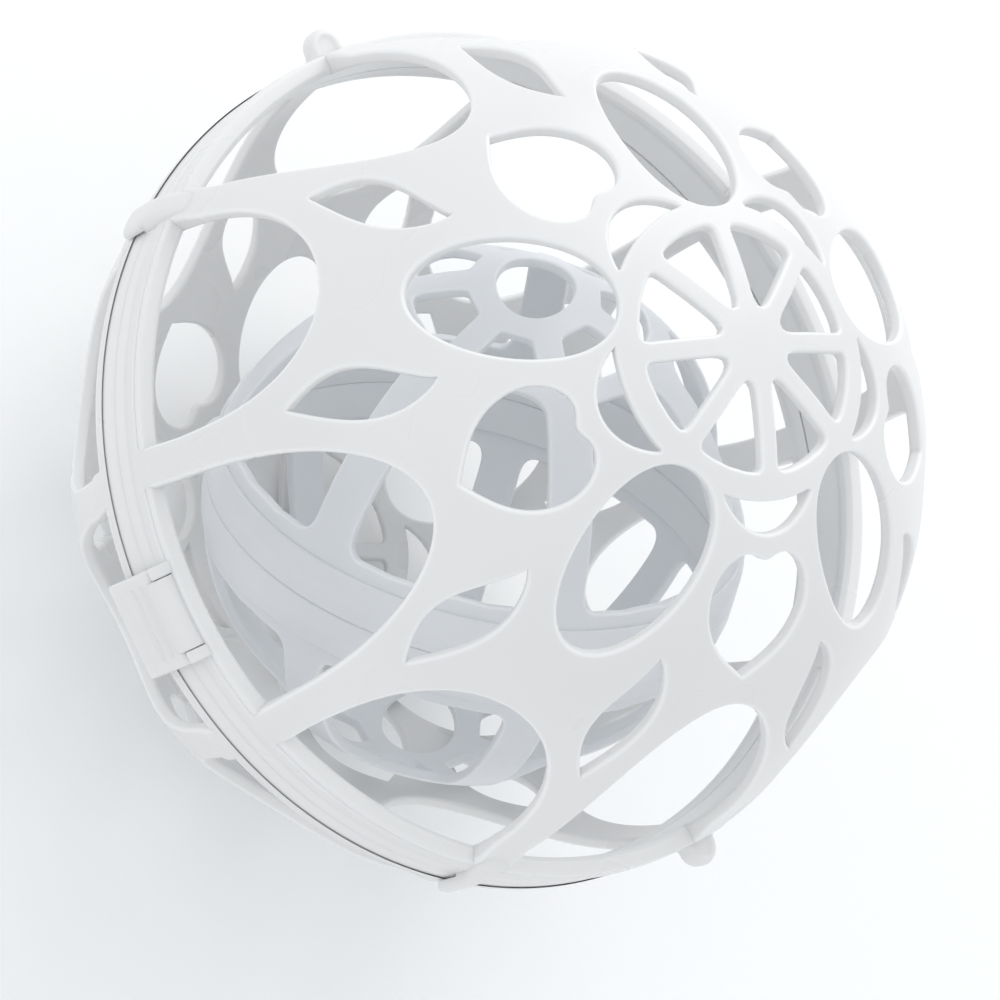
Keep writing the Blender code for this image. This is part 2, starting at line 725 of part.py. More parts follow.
add(upper_shell, pocket, "DIFFERENCE")
for tool in (ear(-1), ear(1)):
    add(upper_shell, tool, "UNION")
add(upper_shell, rod("ear_bore", clasp_bore, 2 * ear_span, clasp_at, 16), "DIFFERENCE")

# The lower shell is drawn pole up like the upper one and turned over about the line from clasp to hinge
lower_profile = [(r, -z) for r, z in reversed(lower_rim_profile())]
lower_shell, lower_rim, lower_pad = outer_shell("lower_shell", LOWER_RIM_HEIGHT, lower_profile)
place(lower_shell, ball_centre, (0, 0, 0), (0, math.pi, 0), shell_plastic)
over = Matrix.Rotation(math.pi, 4, "Y")
knuckle_start = MIDDLE_KNUCKLE / 2 + KNUCKLE_GAP
left_knuckle = knuckle("left_knuckle", -knuckle_start - OUTER_KNUCKLE, -knuckle_start, -1)
right_knuckle = knuckle("right_knuckle", knuckle_start, knuckle_start + OUTER_KNUCKLE, -1)
lower_bore = rod("lower_hinge_bore", hinge_bore, 2 * hinge_span, hinge_at, 16)
for tool in (left_knuckle, right_knuckle, lower_bore):
    tool.data.transform(over)
for tool in (lower_rim, lower_pad, left_knuckle, right_knuckle):
    add(lower_shell, tool, "UNION")
add(lower_shell, lower_bore, "DIFFERENCE")

hinge_pin = rod("hinge_pin", HINGE_PIN_RADIUS, hinge_span, (0, 0, 0), 20)
place(hinge_pin, lid_axis, (0, 0, 0), (0, 0, 0), pin_plastic)

clasp_axis = axis_empty("clasp_axis", back + clasp_at, lid_axis)
clasp_home = -clasp_at
clasp, barrel = clasp_piece()
place(clasp, clasp_axis, clasp_home, (0, 0, 0), shell_plastic)
add(clasp, barrel, "UNION")
for index in range(2):
    add(clasp, grip(index), "UNION")
add(clasp, rod("clasp_bore", clasp_bore, 2 * CLASP_BARREL_WIDTH, clasp_at, 16), "DIFFERENCE")
clasp_pin = rod("clasp_pin", CLASP_PIN_RADIUS, ear_span, (0, 0, 0), 16)
place(clasp_pin, clasp_axis, (0, 0, 0), (0, 0, 0), pin_plastic)

# The inner ball lies on the lower pole, its own pole leaning over
inner_centre = axis_empty("inner_centre", centre + direction(180 - INNER_LEAN, INNER_LEAN_PSI) * INNER_DROP)
inner_centre.rotation_euler = (0, math.radians(-INNER_TILT), math.radians(INNER_TURN))
inner_edge = math.degrees(math.acos(INNER_BAND_HEIGHT * 0.45 / INNER_RADIUS))
spin = math.radians(INNER_SPIN)
for name, lip_way, turn in (("inner_upper", 1, 0), ("inner_lower", -1, math.pi)):
    half = dome(name, INNER_RADIUS, INNER_WALL, inner_pattern(), inner_edge, INNER_ROUND_STEPS)
    place(half, inner_centre, (0, 0, 0), (0, turn, spin), shell_plastic)
    add(half, turned(name + "_band", inner_band_profile(lip_way), INNER_ROUND_STEPS), "UNION")

bpy.context.view_layer.update()
for piece in parts.objects:
    if piece.type == "MESH":
        smooth(piece)
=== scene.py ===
# %% [markdown]
# # A wash ball for delicates
#
# The object is a hollow ball of white plastic, cut through all over so that water runs in and out.
# Two half shells meet at a seam. They are hinged on one side and clasped on the other, and a second,
# smaller openwork ball lies loose inside. This script dresses a packed mechanical model. The frame
# that it loads holds the plain solids and the moving bodies, and the cells below make the detailed
# pieces in the same sizes and places.

# %% Load the frame
import math

import bmesh
import bpy
from mathutils import Matrix, Vector
from mathutils.geometry import delaunay_2d_cdt


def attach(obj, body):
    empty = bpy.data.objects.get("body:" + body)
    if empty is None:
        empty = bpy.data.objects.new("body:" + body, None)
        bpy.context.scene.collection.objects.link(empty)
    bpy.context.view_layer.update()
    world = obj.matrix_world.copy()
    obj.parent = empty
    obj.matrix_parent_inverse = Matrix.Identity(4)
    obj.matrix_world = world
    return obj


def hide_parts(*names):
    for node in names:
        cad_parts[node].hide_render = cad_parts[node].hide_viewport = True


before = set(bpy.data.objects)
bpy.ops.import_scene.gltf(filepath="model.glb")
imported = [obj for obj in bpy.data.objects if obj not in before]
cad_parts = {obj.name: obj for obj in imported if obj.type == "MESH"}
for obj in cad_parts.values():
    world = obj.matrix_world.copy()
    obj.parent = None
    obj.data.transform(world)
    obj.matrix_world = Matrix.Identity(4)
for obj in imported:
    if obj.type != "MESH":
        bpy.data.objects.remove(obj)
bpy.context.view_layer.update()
scene = bpy.context.scene

# %% [markdown]
# ## Directions on a ball
#
# A place on a ball needs two angles. Theta is measured from the pole and psi round the pole, starting
# at the clasp. Drawing the pattern on a flat sheet first is easier than drawing it on the ball, so
# theta becomes the distance from the sheet's middle. Distances along a meridian then stay true, and
# bending the sheet back onto the ball is one line of code.

# %% Directions and the flat sheet
BALL_RADIUS = 0.0825
CENTRE = Vector((0, 0, BALL_RADIUS))
RIM_PROUD = 0.0010
RIM_RADIUS = BALL_RADIUS + RIM_PROUD
SHELL_WALL = 0.0026
SEAM_GAP = 0.00003


def direction(theta, psi):
    """The unit vector of a direction on the ball."""
    across = math.sin(math.radians(theta))
    turn = math.radians(psi)
    return Vector((across * math.sin(turn), -across * math.cos(turn), math.cos(math.radians(theta))))


def flat(theta, psi):
    """A direction's point on the flat sheet."""
    return (theta * math.cos(math.radians(psi)), theta * math.sin(math.radians(psi)))


def flat_arc(theta, arc):
    """The same with the sideways distance as degrees of arc on the ball."""
    return flat(theta, arc / math.sin(math.radians(theta)))


def lifted(point):
    """The unit vector of a point of the flat sheet."""
    theta = math.hypot(*point)
    return direction(theta, math.degrees(math.atan2(point[1], point[0])))


def laid(vector):
    """The flat sheet's point of a direction."""
    unit = vector.normalized()
    theta = math.degrees(math.acos(max(-1, min(1, unit.z))))
    psi = math.degrees(math.atan2(unit.x, -unit.y))
    return flat(theta, psi)


def turned_flat(points, turn):
    c = math.cos(math.radians(turn))
    s = math.sin(math.radians(turn))
    return [(u * c - v * s, u * s + v * c) for u, v in points]


# %% [markdown]
# ## The outlines of the cut-outs
#
# Five fields repeat round the pole: a heart, an ellipse, a crescent, two leaves and two tall arches.
# In the middle sits a wheel with eight spokes. Each outline is a short formula, so a size can be
# changed without moving points by hand. Corners that the mould rounds are drawn as small curves.


# %% Outline helpers
def rounded(corners, radii, steps):
    """A polygon whose corners become curves of the given radii, in degrees."""
    points = []
    for i, (corner, radius) in enumerate(zip(corners, radii)):
        here = Vector(corner)
        if radius == 0:
            points.append(corner)
            continue
        before = Vector(corners[i - 1]) - here
        after = Vector(corners[(i + 1) % len(corners)]) - here
        half = before.angle(after) / 2
        reach = min(radius / math.tan(half), 0.49 * before.length, 0.49 * after.length)
        start = here + before.normalized() * reach
        end = here + after.normalized() * reach
        for k in range(steps + 1):
            t = k / steps
            bend = start * (1 - t) ** 2 + here * 2 * t * (1 - t) + end * t * t
            points.append((bend.x, bend.y))
    return points


def evened(outline, spacing):
    """A closed outline with its points spread evenly, measured on the ball in degrees."""
    units = [lifted(p) for p in outline]
    lengths = [math.degrees(a.angle(b)) for a, b in zip(units, units[1:] + units[:1])]
    total = sum(lengths)
    count = max(12, round(total / spacing))
    points = []
    k = 0
    walked = 0
    for i in range(count):
        target = total * i / count
        while walked + lengths[k] < target:
            walked += lengths[k]
            k += 1
        share = (target - walked) / lengths[k] if lengths[k] else 0
        a = Vector(outline[k])
        b = Vector(outline[(k + 1) % len(outline)])
        spot = a.lerp(b, share)
        points.append((spot.x, spot.y))
    return points


# %% The wheel and the five fields
FIELDS = 5
SPOKES = 8
WHEEL_TURN = 4.6
SPOKE_HALF = 1.30
WHEEL_EDGE = 16.1
CRESCENT_START = 19.6
CRESCENT_DEPTH = 4.0
CRESCENT_SIDE = 20.9
LEAF_SHIFT = 1.7
LONG_ARCH = 46.9
SHORT_ARCH = 56.2
ARCH_END = 85.0
OUTLINE_STEP = 0.62


def wheel_hole():
    """A round-cornered triangle between two spokes."""
    half = math.radians(180 / SPOKES)
    apex = SPOKE_HALF / math.sin(half)
    side = math.degrees(half - math.asin(SPOKE_HALF / WHEEL_EDGE))
    corners = [(apex, 0), flat(WHEEL_EDGE, -side)]
    corners += [flat(WHEEL_EDGE, side * share) for share in (-0.5, 0, 0.5)]
    corners.append(flat(WHEEL_EDGE, side))
    return evened(rounded(corners, [1.5, 1.7, 0, 0, 0, 1.7], 10), OUTLINE_STEP)


def crescent():
    """A sliver that hugs the wheel, with soft tips."""
    outer = []
    inner = []
    for k in range(41):
        share = k / 20 - 1
        bulge = CRESCENT_DEPTH * math.cos(math.pi / 2 * share) ** 0.9 if abs(share) < 1 else 0
        outer.append(flat(CRESCENT_START + bulge, CRESCENT_SIDE * share))
        inner.append(flat(CRESCENT_START, -CRESCENT_SIDE * share))
    return evened(outer + inner[1:-1], OUTLINE_STEP)


def ellipse():
    points = []
    for k in range(160):
        turn = math.tau * k / 160
        points.append(flat_arc(31.9 + 13.1 * math.cos(turn), 7.9 * math.sin(turn)))
    return evened(points, OUTLINE_STEP)


def heart():
    """A round outline with a shallow notch towards the pole and a drawn-out tip."""
    points = []
    for k in range(180):
        turn = 2 * k
        away = min(turn, 360 - turn)
        reach = 7.5 - 1.6 * math.exp(-((away / 17) ** 2)) + 2.2 * math.exp((away - 180) / 18)
        theta = 32.9 - reach * math.cos(math.radians(turn))
        points.append(flat_arc(theta, reach * math.sin(math.radians(turn))))
    return evened(points, OUTLINE_STEP)


def leaf():
    """A pointed leaf whose sides bulge towards opposite ends."""
    points = []
    for side in (-1, 1):
        power = math.log(0.5) / math.log(0.5 - side * 0.09)
        for k in range(40):
            share = k / 40 if side < 0 else 1 - k / 40
            swell = math.sin(math.pi * share**power) if 0 < share < 1 else 0
            points.append(flat_arc(41.4 + 19.5 * share, side * 3.4 * swell))
    return evened(points, OUTLINE_STEP)


def arch(start):
    """A tall arch, round towards the pole, that runs on under the rim."""
    side = []
    for k in range(61):
        turn = math.radians(1.5 * k)
        side.append((ARCH_END - (ARCH_END - start) * math.cos(turn) ** (2 / 3.5), 15.4 * math.sin(turn)))
    points = [flat(theta, -psi) for theta, psi in reversed(side)]
    points += [flat(theta, psi) for theta, psi in side[1:]]
    points += [flat(ARCH_END, 15.4 * share) for share in (0.6, 0.2, -0.2, -0.6)]
    return evened(points, OUTLINE_STEP)


# %% [markdown]
# ## From outlines to a moulded sheet
#
# A moulded hole has no knife edge: the plastic turns over with a small radius on both faces. A Bevel
# modifier makes a mess of outlines as busy as these, so the round is built in. The flat face stops
# short of each hole by the edge radius, and a strip of quads then rolls round the edge, runs down the
# wall and rolls under the inner face. The faces between the holes come from a Delaunay triangulation
# of the flat sheet, bent onto the ball. An attribute that peaks halfway round each outer rolled edge
# marks where the plastic's material paints a thin highlight line.

# %% The moulded sheet
EDGE_RADIUS = 0.0008
ROLL_STEPS = 5
FACE_STEP = 1.5


def extent(points):
    """The least and largest u, then the least and largest v, of some points of the sheet."""
    us, vs = zip(*points)
    return min(us), max(us), min(vs), max(vs)


def inside(point, outline):
    x, y = point
    found = False
    for (x1, y1), (x2, y2) in zip(outline, outline[1:] + outline[:1]):
        if (y1 > y) != (y2 > y) and x < (x2 - x1) * (y - y1) / (y2 - y1) + x1:
            found = not found
    return found


def edge_frames(outline):
    """For each point of an anticlockwise outline, its unit vector and the way into the plastic."""
    area = sum(a[0] * b[1] - b[0] * a[1] for a, b in zip(outline, outline[1:] + outline[:1]))
    ordered = outline if area > 0 else outline[::-1]
    units = [lifted(p) for p in ordered]
    frames = []
    for i, unit in enumerate(units):
        along = units[(i + 1) % len(units)] - units[i - 1]
        frames.append((unit, along.cross(unit).normalized()))
    return frames


def moved(unit, way, distance, radius):
    """A point of the unit ball moved along it by a distance measured at the given radius."""
    angle = distance / radius
    return unit * math.cos(angle) + way * math.sin(angle)


def moulded_sheet(name, radius, wall, holes, border, edge=EDGE_RADIUS, step=FACE_STEP):
    """An openwork patch of a ball: the plastic inside a border on the flat sheet, less the holes."""
    mesh = bpy.data.meshes.new(name)
    bm = bmesh.new()
    # Each vertex's weight for the painted highlight, which peaks halfway round the outer rolled edge.
    soft = bm.verts.layers.float.new("painted_edge_highlight")
    frames = [edge_frames(hole) for hole in holes]
    rims = [[laid(moved(unit, way, edge, radius)) for unit, way in strip] for strip in frames]
    points = list(border)
    edges = [(k, (k + 1) % len(border)) for k in range(len(border))]
    for rim in rims:
        first = len(points)
        points += rim
        edges += [(first + k, first + (k + 1) % len(rim)) for k in range(len(rim))]
    fixed = [Vector(p) for p in points]
    cells = {}
    for p in fixed:
        cells.setdefault((int(p.x // step), int(p.y // step)), []).append(p)

    def crowded(point):
        i, j = int(point.x // step), int(point.y // step)
        near = [p for a in (-1, 0, 1) for b in (-1, 0, 1) for p in cells.get((i + a, j + b), [])]
        return any((point - p).length < 0.62 * step for p in near)

    low_u, high_u, low_v, high_v = extent(border)
    boxes = [extent(rim) for rim in rims]

    def in_hole(point):
        for rim, (a, b, c, d) in zip(rims, boxes):
            if a < point[0] < b and c < point[1] < d and inside(point, rim):
                return True
        return False

    row = 0
    v = low_v
    while v < high_v:
        u = low_u + (step / 2 if row % 2 else 0)
        while u < high_u:
            spot = Vector((u, v))
            if inside(spot, border) and not crowded(spot) and not in_hole(spot):
                points.append((u, v))
            u += step
        v += step * 0.866
        row += 1
    made = delaunay_2d_cdt([Vector(p) for p in points], edges, [], 0, 1e-6)
    flat_points, faces = made[0], made[2]
    outer = [bm.verts.new(lifted(p) * radius) for p in flat_points]
    inner = [bm.verts.new(lifted(p) * (radius - wall)) for p in flat_points]
    for face in faces:
        middle = sum((flat_points[i] for i in face), Vector((0, 0))) / len(face)
        if inside(middle, border) and not in_hole(middle):
            bm.faces.new([outer[i] for i in face])
            bm.faces.new([inner[i] for i in reversed(face)])
    profile = []
    highlight_weights = []
    for k in range(ROLL_STEPS + 1):
        turn = math.pi / 2 * k / ROLL_STEPS
        profile.append((radius - edge * (1 - math.cos(turn)), edge * (1 - math.sin(turn))))
        highlight_weights.append(math.sin(2 * turn))
    profile += [(2 * radius - wall - depth, side) for depth, side in reversed(profile)]
    for strip in frames:
        columns = []
        for unit, way in strip:
            column = [bm.verts.new(moved(unit, way, side, radius) * depth) for depth, side in profile]
            for vert, share in zip(column, highlight_weights):
                vert[soft] = share
            columns.append(column)
        for a, b in zip(columns, columns[1:] + columns[:1]):
            middle = laid((a[ROLL_STEPS].co + b[ROLL_STEPS].co) / 2)
            if not inside(middle, border):
                continue
            for k in range(len(profile) - 1):
                bm.faces.new((a[k], b[k], b[k + 1], a[k + 1]))
    bmesh.ops.remove_doubles(bm, verts=bm.verts[:], dist=2e-6)
    bmesh.ops.delete(bm, geom=[v for v in bm.verts if not v.link_faces], context="VERTS")
    bm.to_mesh(mesh)
    bm.free()
    return mesh


def true_normals(mesh, middle, radius, wall):
    """Gives a dome's plain faces the ball's own normals, so that no triangle shows in the gloss."""
    normals = []
    for vert in mesh.vertices:
        out = vert.co - middle
        if abs(out.length - radius) < 5e-6:
            normals.append(out.normalized())
        elif abs(out.length - radius + wall) < 5e-6:
            normals.append(-out.normalized())
        else:
            normals.append(vert.normal.copy())
    mesh.normals_split_custom_set_from_vertices(normals)


# %% One field and one spoke bay
WHEEL_BORDER = 17.85
DOME_EDGE = 86.9
BORDER_STEPS = 120


def arc(theta, start, end, steps):
    return [flat(theta, start + (end - start) * k / steps) for k in range(steps + 1)]


def ray(psi, start, end, steps):
    return [flat(start + (end - start) * k / steps, psi) for k in range(steps + 1)]


def field_patch(name):
    """One fifth of the dome, from the wheel's ring to where the rim hides it."""
    half = 180 / FIELDS
    per_field = BORDER_STEPS // FIELDS
    border = ray(half, WHEEL_BORDER, DOME_EDGE, 40)[:-1] + arc(DOME_EDGE, half, -half, 48)[:-1]
    border += ray(-half, DOME_EDGE, WHEEL_BORDER, 40)[:-1] + arc(WHEEL_BORDER, -half, half, per_field)[:-1]
    holes = [crescent(), heart(), arch(LONG_ARCH)]
    for side in (-1, 1):
        holes.append(turned_flat(leaf(), side * (half / 2 + LEAF_SHIFT)))
        holes.append(turned_flat(ellipse(), side * half))
        holes.append(turned_flat(arch(SHORT_ARCH), side * half))
    return moulded_sheet(name, BALL_RADIUS, SHELL_WALL, holes, border)


def bay_patch(name):
    """One eighth of the wheel, with its hub, half a spoke on each side and the ring."""
    half = 180 / SPOKES
    per_bay = BORDER_STEPS // SPOKES
    border = ray(half, 0, WHEEL_BORDER, 12)[:-1] + arc(WHEEL_BORDER, half, -half, per_bay)[:-1]
    border += ray(-half, WHEEL_BORDER, 0, 12)[:-1]
    return moulded_sheet(name, BALL_RADIUS, SHELL_WALL, [wheel_hole()], border)


field = bpy.data.objects.new("field", field_patch("field"))
bay = bpy.data.objects.new("spoke_bay", bay_patch("spoke_bay"))
print("field faces:", len(field.data.polygons), "bay faces:", len(bay.data.polygons))

# %% [markdown]
# ## Repeating the pattern with Geometry Nodes
#
# The five fields and the eight spoke bays are the same shape turned round the pole, which is what
# Geometry Nodes are good at: points, one instance on each, and a rotation that grows with the index.
# Realize Instances turns the copies into real faces, and Merge by Distance welds their shared edges.


# %% The round-pattern node tree
def ring_of_copies(tree, entry, thing, count, turn):
    """Nodes that put an object's mesh round Z as many times as the count says."""
    nodes, links = tree.nodes, tree.links
    line = nodes.new("GeometryNodeMeshLine")
    line.inputs["Offset"].default_value = (0, 0, 0)
    links.new(entry.outputs[count], line.inputs["Count"])
    info = nodes.new("GeometryNodeObjectInfo")
    links.new(entry.outputs[thing], info.inputs["Object"])
    step = nodes.new("ShaderNodeMath")
    step.operation = "DIVIDE"
    step.inputs[0].default_value = math.tau
    links.new(entry.outputs[count], step.inputs[1])
    index = nodes.new("GeometryNodeInputIndex")
    angle = nodes.new("ShaderNodeMath")
    angle.operation = "MULTIPLY_ADD"
    links.new(index.outputs[0], angle.inputs[0])
    links.new(step.outputs[0], angle.inputs[1])
    links.new(entry.outputs[turn], angle.inputs[2])
    spin = nodes.new("ShaderNodeCombineXYZ")
    links.new(angle.outputs[0], spin.inputs["Z"])
    copies = nodes.new("GeometryNodeInstanceOnPoints")
    links.new(line.outputs["Mesh"], copies.inputs["Points"])
    links.new(info.outputs["Geometry"], copies.inputs["Instance"])
    links.new(spin.outputs[0], copies.inputs["Rotation"])
    real = nodes.new("GeometryNodeRealizeInstances")
    links.new(copies.outputs[0], real.inputs[0])
    return real


def dome_tree():
    """Fields and spoke bays, repeated, joined, welded and given their material."""
    tree = bpy.data.node_groups.new("openwork_dome", "GeometryNodeTree")
    tree.interface.new_socket("Geometry", in_out="OUTPUT", socket_type="NodeSocketGeometry")
    names = {}
    for name, kind in (
        ("Field", "NodeSocketObject"),
        ("Fields", "NodeSocketInt"),
        ("Field turn", "NodeSocketFloat"),
        ("Bay", "NodeSocketObject"),
        ("Spokes", "NodeSocketInt"),
        ("Wheel turn", "NodeSocketFloat"),
        ("Material", "NodeSocketMaterial"),
    ):
        names[name] = tree.interface.new_socket(name, in_out="INPUT", socket_type=kind).identifier
    nodes, links = tree.nodes, tree.links
    entry = nodes.new("NodeGroupInput")
    leave = nodes.new("NodeGroupOutput")
    join = nodes.new("GeometryNodeJoinGeometry")
    weld = nodes.new("GeometryNodeMergeByDistance")
    weld.inputs["Distance"].default_value = 0.00002
    smooth = nodes.new("GeometryNodeSetShadeSmooth")
    paint = nodes.new("GeometryNodeSetMaterial")
    links.new(ring_of_copies(tree, entry, "Field", "Fields", "Field turn").outputs[0], join.inputs[0])
    links.new(ring_of_copies(tree, entry, "Bay", "Spokes", "Wheel turn").outputs[0], join.inputs[0])
    links.new(join.outputs[0], weld.inputs[0])
    links.new(weld.outputs[0], smooth.inputs[0])
    links.new(smooth.outputs[0], paint.inputs[0])
    links.new(entry.outputs["Material"], paint.inputs["Material"])
    links.new(paint.outputs[0], leave.inputs[0])
    return tree, names


openwork_dome, dome_inputs = dome_tree()

# %% [markdown]
# ## The plastic
#
# The shells are moulded in white polypropylene. It is satin and slightly milky. Its finish has four
# parts: a faint cloudiness in the colour, patches of stronger and weaker gloss where the plastic flowed
# and cooled at different speeds, the very soft waviness of a moulded face, and a painted highlight: a
# lighter colour along the rolled edges, where they catch the light. One node group makes all four, and
# each plastic uses it with its own values.


# %% The moulded plastic node group
def moulded_finish_and_highlight():
    group = bpy.data.node_groups.new("moulded_finish_and_highlight", "ShaderNodeTree")
    face = group.interface
    for name, kind, value in (
        ("Colour", "NodeSocketColor", (0.85, 0.86, 0.87, 1)),
        ("Edge colour", "NodeSocketColor", (0.95, 0.96, 0.97, 1)),
        ("Centre", "NodeSocketVector", (0, 0, 0)),
        ("Cloudiness", "NodeSocketFloat", 0.012),
        ("Gloss", "NodeSocketFloat", 0.30),
        ("Relief", "NodeSocketFloat", 0.06),
    ):
        face.new_socket(name, in_out="INPUT", socket_type=kind).default_value = value
    face.new_socket("Colour", in_out="OUTPUT", socket_type="NodeSocketColor")
    face.new_socket("Roughness", in_out="OUTPUT", socket_type="NodeSocketFloat")
    face.new_socket("Normal", in_out="OUTPUT", socket_type="NodeSocketVector")
    nodes, links = group.nodes, group.links
    entry = nodes.new("NodeGroupInput")
    leave = nodes.new("NodeGroupOutput")
    place = nodes.new("ShaderNodeTexCoord")
    from_centre = nodes.new("ShaderNodeVectorMath")
    from_centre.operation = "SUBTRACT"
    links.new(place.outputs["Object"], from_centre.inputs[0])
    links.new(entry.outputs["Centre"], from_centre.inputs[1])

    def noise(scale, detail, source):
        made = nodes.new("ShaderNodeTexNoise")
        made.inputs["Scale"].default_value = scale
        made.inputs["Detail"].default_value = detail
        links.new(source, made.inputs["Vector"])
        return made.outputs["Fac"]

    cloud = noise(28, 1, from_centre.outputs[0])
    flow = noise(45, 1, from_centre.outputs[0])

    def spread(source, low, high):
        made = nodes.new("ShaderNodeMapRange")
        made.interpolation_type = "SMOOTHSTEP"
        made.inputs["From Min"].default_value = 0.3
        made.inputs["From Max"].default_value = 0.7
        made.inputs["To Min"].default_value = low
        made.inputs["To Max"].default_value = high
        links.new(source, made.inputs["Value"])
        return made.outputs[0]

    def calc(operation, a, b, c=None):
        made = nodes.new("ShaderNodeMath")
        made.operation = operation
        for socket, value in zip(made.inputs, (a, b, c)):
            if value is None:
                continue
            if isinstance(value, (int, float)):
                socket.default_value = value
            else:
                links.new(value, socket)
        return made.outputs[0]

    tone = calc("MULTIPLY_ADD", spread(cloud, -1, 1), entry.outputs["Cloudiness"], 1.0)
    # Painted highlight: the edge attribute blends the colour towards the lighter highlight colour.
    soft = nodes.new("ShaderNodeAttribute")
    soft.attribute_name = "painted_edge_highlight"
    blend = nodes.new("ShaderNodeMix")
    blend.data_type = "RGBA"
    links.new(calc("MULTIPLY", soft.outputs["Fac"], 0.6), blend.inputs["Factor"])
    links.new(entry.outputs["Colour"], blend.inputs["A"])
    links.new(entry.outputs["Edge colour"], blend.inputs["B"])
    shade = nodes.new("ShaderNodeVectorMath")
    shade.operation = "SCALE"
    links.new(blend.outputs["Result"], shade.inputs[0])
    links.new(tone, shade.inputs["Scale"])
    links.new(shade.outputs[0], leave.inputs["Colour"])
    gloss = calc("MULTIPLY_ADD", spread(flow, -1, 1), 0.03, entry.outputs["Gloss"])
    links.new(gloss, leave.inputs["Roughness"])
    bump = nodes.new("ShaderNodeBump")
    bump.inputs["Distance"].default_value = 0.0004
    links.new(entry.outputs["Relief"], bump.inputs["Strength"])
    links.new(noise(120, 1, from_centre.outputs[0]), bump.inputs["Height"])
    links.new(bump.outputs[0], leave.inputs["Normal"])
    return group


finish_group = moulded_finish_and_highlight()

# %% [markdown]
# Each plastic is a Principled shader fed by this group. A little subsurface light makes the walls
# milky. The inner ball is the same plastic, but it looks cooler and greyer in the shade of the
# shells, so its colour is a touch bluer.


# %% Materials
def plastic(name, colour, edge, gloss, milk):
    made = bpy.data.materials.new(name)
    made.use_nodes = True
    nodes, links = made.node_tree.nodes, made.node_tree.links
    shader = nodes["Principled BSDF"]
    finish = nodes.new("ShaderNodeGroup")
    finish.node_tree = finish_group
    finish.inputs["Colour"].default_value = (*colour, 1)
    finish.inputs["Edge colour"].default_value = (*edge, 1)
    finish.inputs["Centre"].default_value = CENTRE
    finish.inputs["Gloss"].default_value = gloss
    links.new(finish.outputs["Colour"], shader.inputs["Base Color"])
    links.new(finish.outputs["Roughness"], shader.inputs["Roughness"])
    links.new(finish.outputs["Normal"], shader.inputs["Normal"])
    shader.inputs["Metallic"].default_value = 0
    shader.inputs["IOR"].default_value = 1.49
    shader.inputs["Subsurface Weight"].default_value = milk
    shader.inputs["Subsurface Radius"].default_value = (1.0, 0.97, 0.94)
    shader.inputs["Subsurface Scale"].default_value = 0.002
    return made


# The second colour of each plastic is the lighter painted highlight for its rolled edges.
shell_plastic = plastic("white_polypropylene", (0.80, 0.80, 0.80), (0.93, 0.935, 0.94), 0.30, 0.25)
inner_plastic = plastic("milky_polypropylene", (0.78, 0.80, 0.825), (0.89, 0.90, 0.91), 0.34, 0.25)
pin_plastic = plastic("white_acetal", (0.74, 0.75, 0.76), (0.85, 0.86, 0.87), 0.24, 0.15)

# %% [markdown]
# ## The two domes
#
# Both halves come out of one mould design, so the same tree makes both. The lower dome is the same
# shape turned over about the line through the clasp. The result of the nodes is kept as a plain mesh
# with its place in the mesh itself, and then gets the normals of a true ball.


# %% Make both domes
def made_from_nodes(name, tree, values, identifiers):
    """Runs a node tree on an empty mesh and keeps its result as a plain object."""
    carrier = bpy.data.objects.new(name + "_nodes", bpy.data.meshes.new(name + "_nodes"))
    scene.collection.objects.link(carrier)
    modifier = carrier.modifiers.new("nodes", "NODES")
    modifier.node_group = tree
    for key, value in values.items():
        modifier[identifiers[key]] = value
    ready = carrier.evaluated_get(bpy.context.evaluated_depsgraph_get())
    mesh = bpy.data.meshes.new_from_object(ready)
    mesh.name = name
    made = bpy.data.objects.new(name, mesh)
    scene.collection.objects.link(made)
    bpy.data.objects.remove(carrier, do_unlink=True)
    return made


FLARE = 0.0014
FLARE_TOP = 0.0170
FLARE_END = 0.0092


def eased(share):
    """A share from 0 to 1 that starts and ends gently."""
    share = min(1, max(0, share))
    return share * share * (3 - 2 * share)


def swell_at(z):
    """How far a rib swells outwards at a height over the seam."""
    return FLARE * eased((FLARE_TOP - abs(z)) / (FLARE_TOP - FLARE_END))


def flared(mesh):
    """Thickens the ribs outwards where they run into the rim, so that they meet it without a step."""
    for vert in mesh.vertices:
        depth = (vert.co.length - BALL_RADIUS + SHELL_WALL) / SHELL_WALL
        vert.co += vert.co.normalized() * swell_at(vert.co.z) * max(0, depth)


for helper in (field, bay):
    scene.collection.objects.link(helper)

OVER = Matrix.Rotation(math.pi, 4, "Y")
domes = {}
for shell in ("upper", "lower"):
    values = {
        "Field": field,
        "Fields": FIELDS,
        "Field turn": 0.0,
        "Bay": bay,
        "Spokes": SPOKES,
        "Wheel turn": math.radians(WHEEL_TURN),
        "Material": shell_plastic,
    }
    dome = made_from_nodes(f"{shell}_dome", openwork_dome, values, dome_inputs)
    flared(dome.data)
    if shell == "lower":
        dome.data.transform(OVER)
    dome.data.transform(Matrix.Translation(CENTRE))
    true_normals(dome.data, CENTRE, BALL_RADIUS, SHELL_WALL)
    domes[shell] = dome
    print(dome.name, "faces:", len(dome.data.polygons))
for helper in (field, bay):
    bpy.data.objects.remove(helper, do_unlink=True)

# %% [markdown]
# ## Turned rims
#
# Each half ends in a stiff ring that closes the arches. From outside, the upper ring has a bead along
# its top edge, a fine groove and a plain band down to the seam, and the lower ring is plain. Inside,
# a lip on the upper ring drops into a step in the lower one. A ring is one closed profile turned
# round the axis, with its corners rounded first.
#
# Rings, pads, pins, tabs, lugs and the clasp are all rows of points with a skin of faces over them,
# so one function makes the skin. It closes the rows into a ring, or puts a cap on each end.

# %% Rows of points with a skin
UPPER_RIM = 0.0090
LOWER_RIM = 0.0088
# The rims get a faint painted highlight over their whole surface.
RIM_PAINTED_HIGHLIGHT = 0.3
RIM_INSIDE = BALL_RADIUS - SHELL_WALL - 0.0002
ROUND_STEPS = 240


def ball_at(z):
    """The outer ball's radius at a height over its centre."""
    return math.sqrt(BALL_RADIUS**2 - z**2)


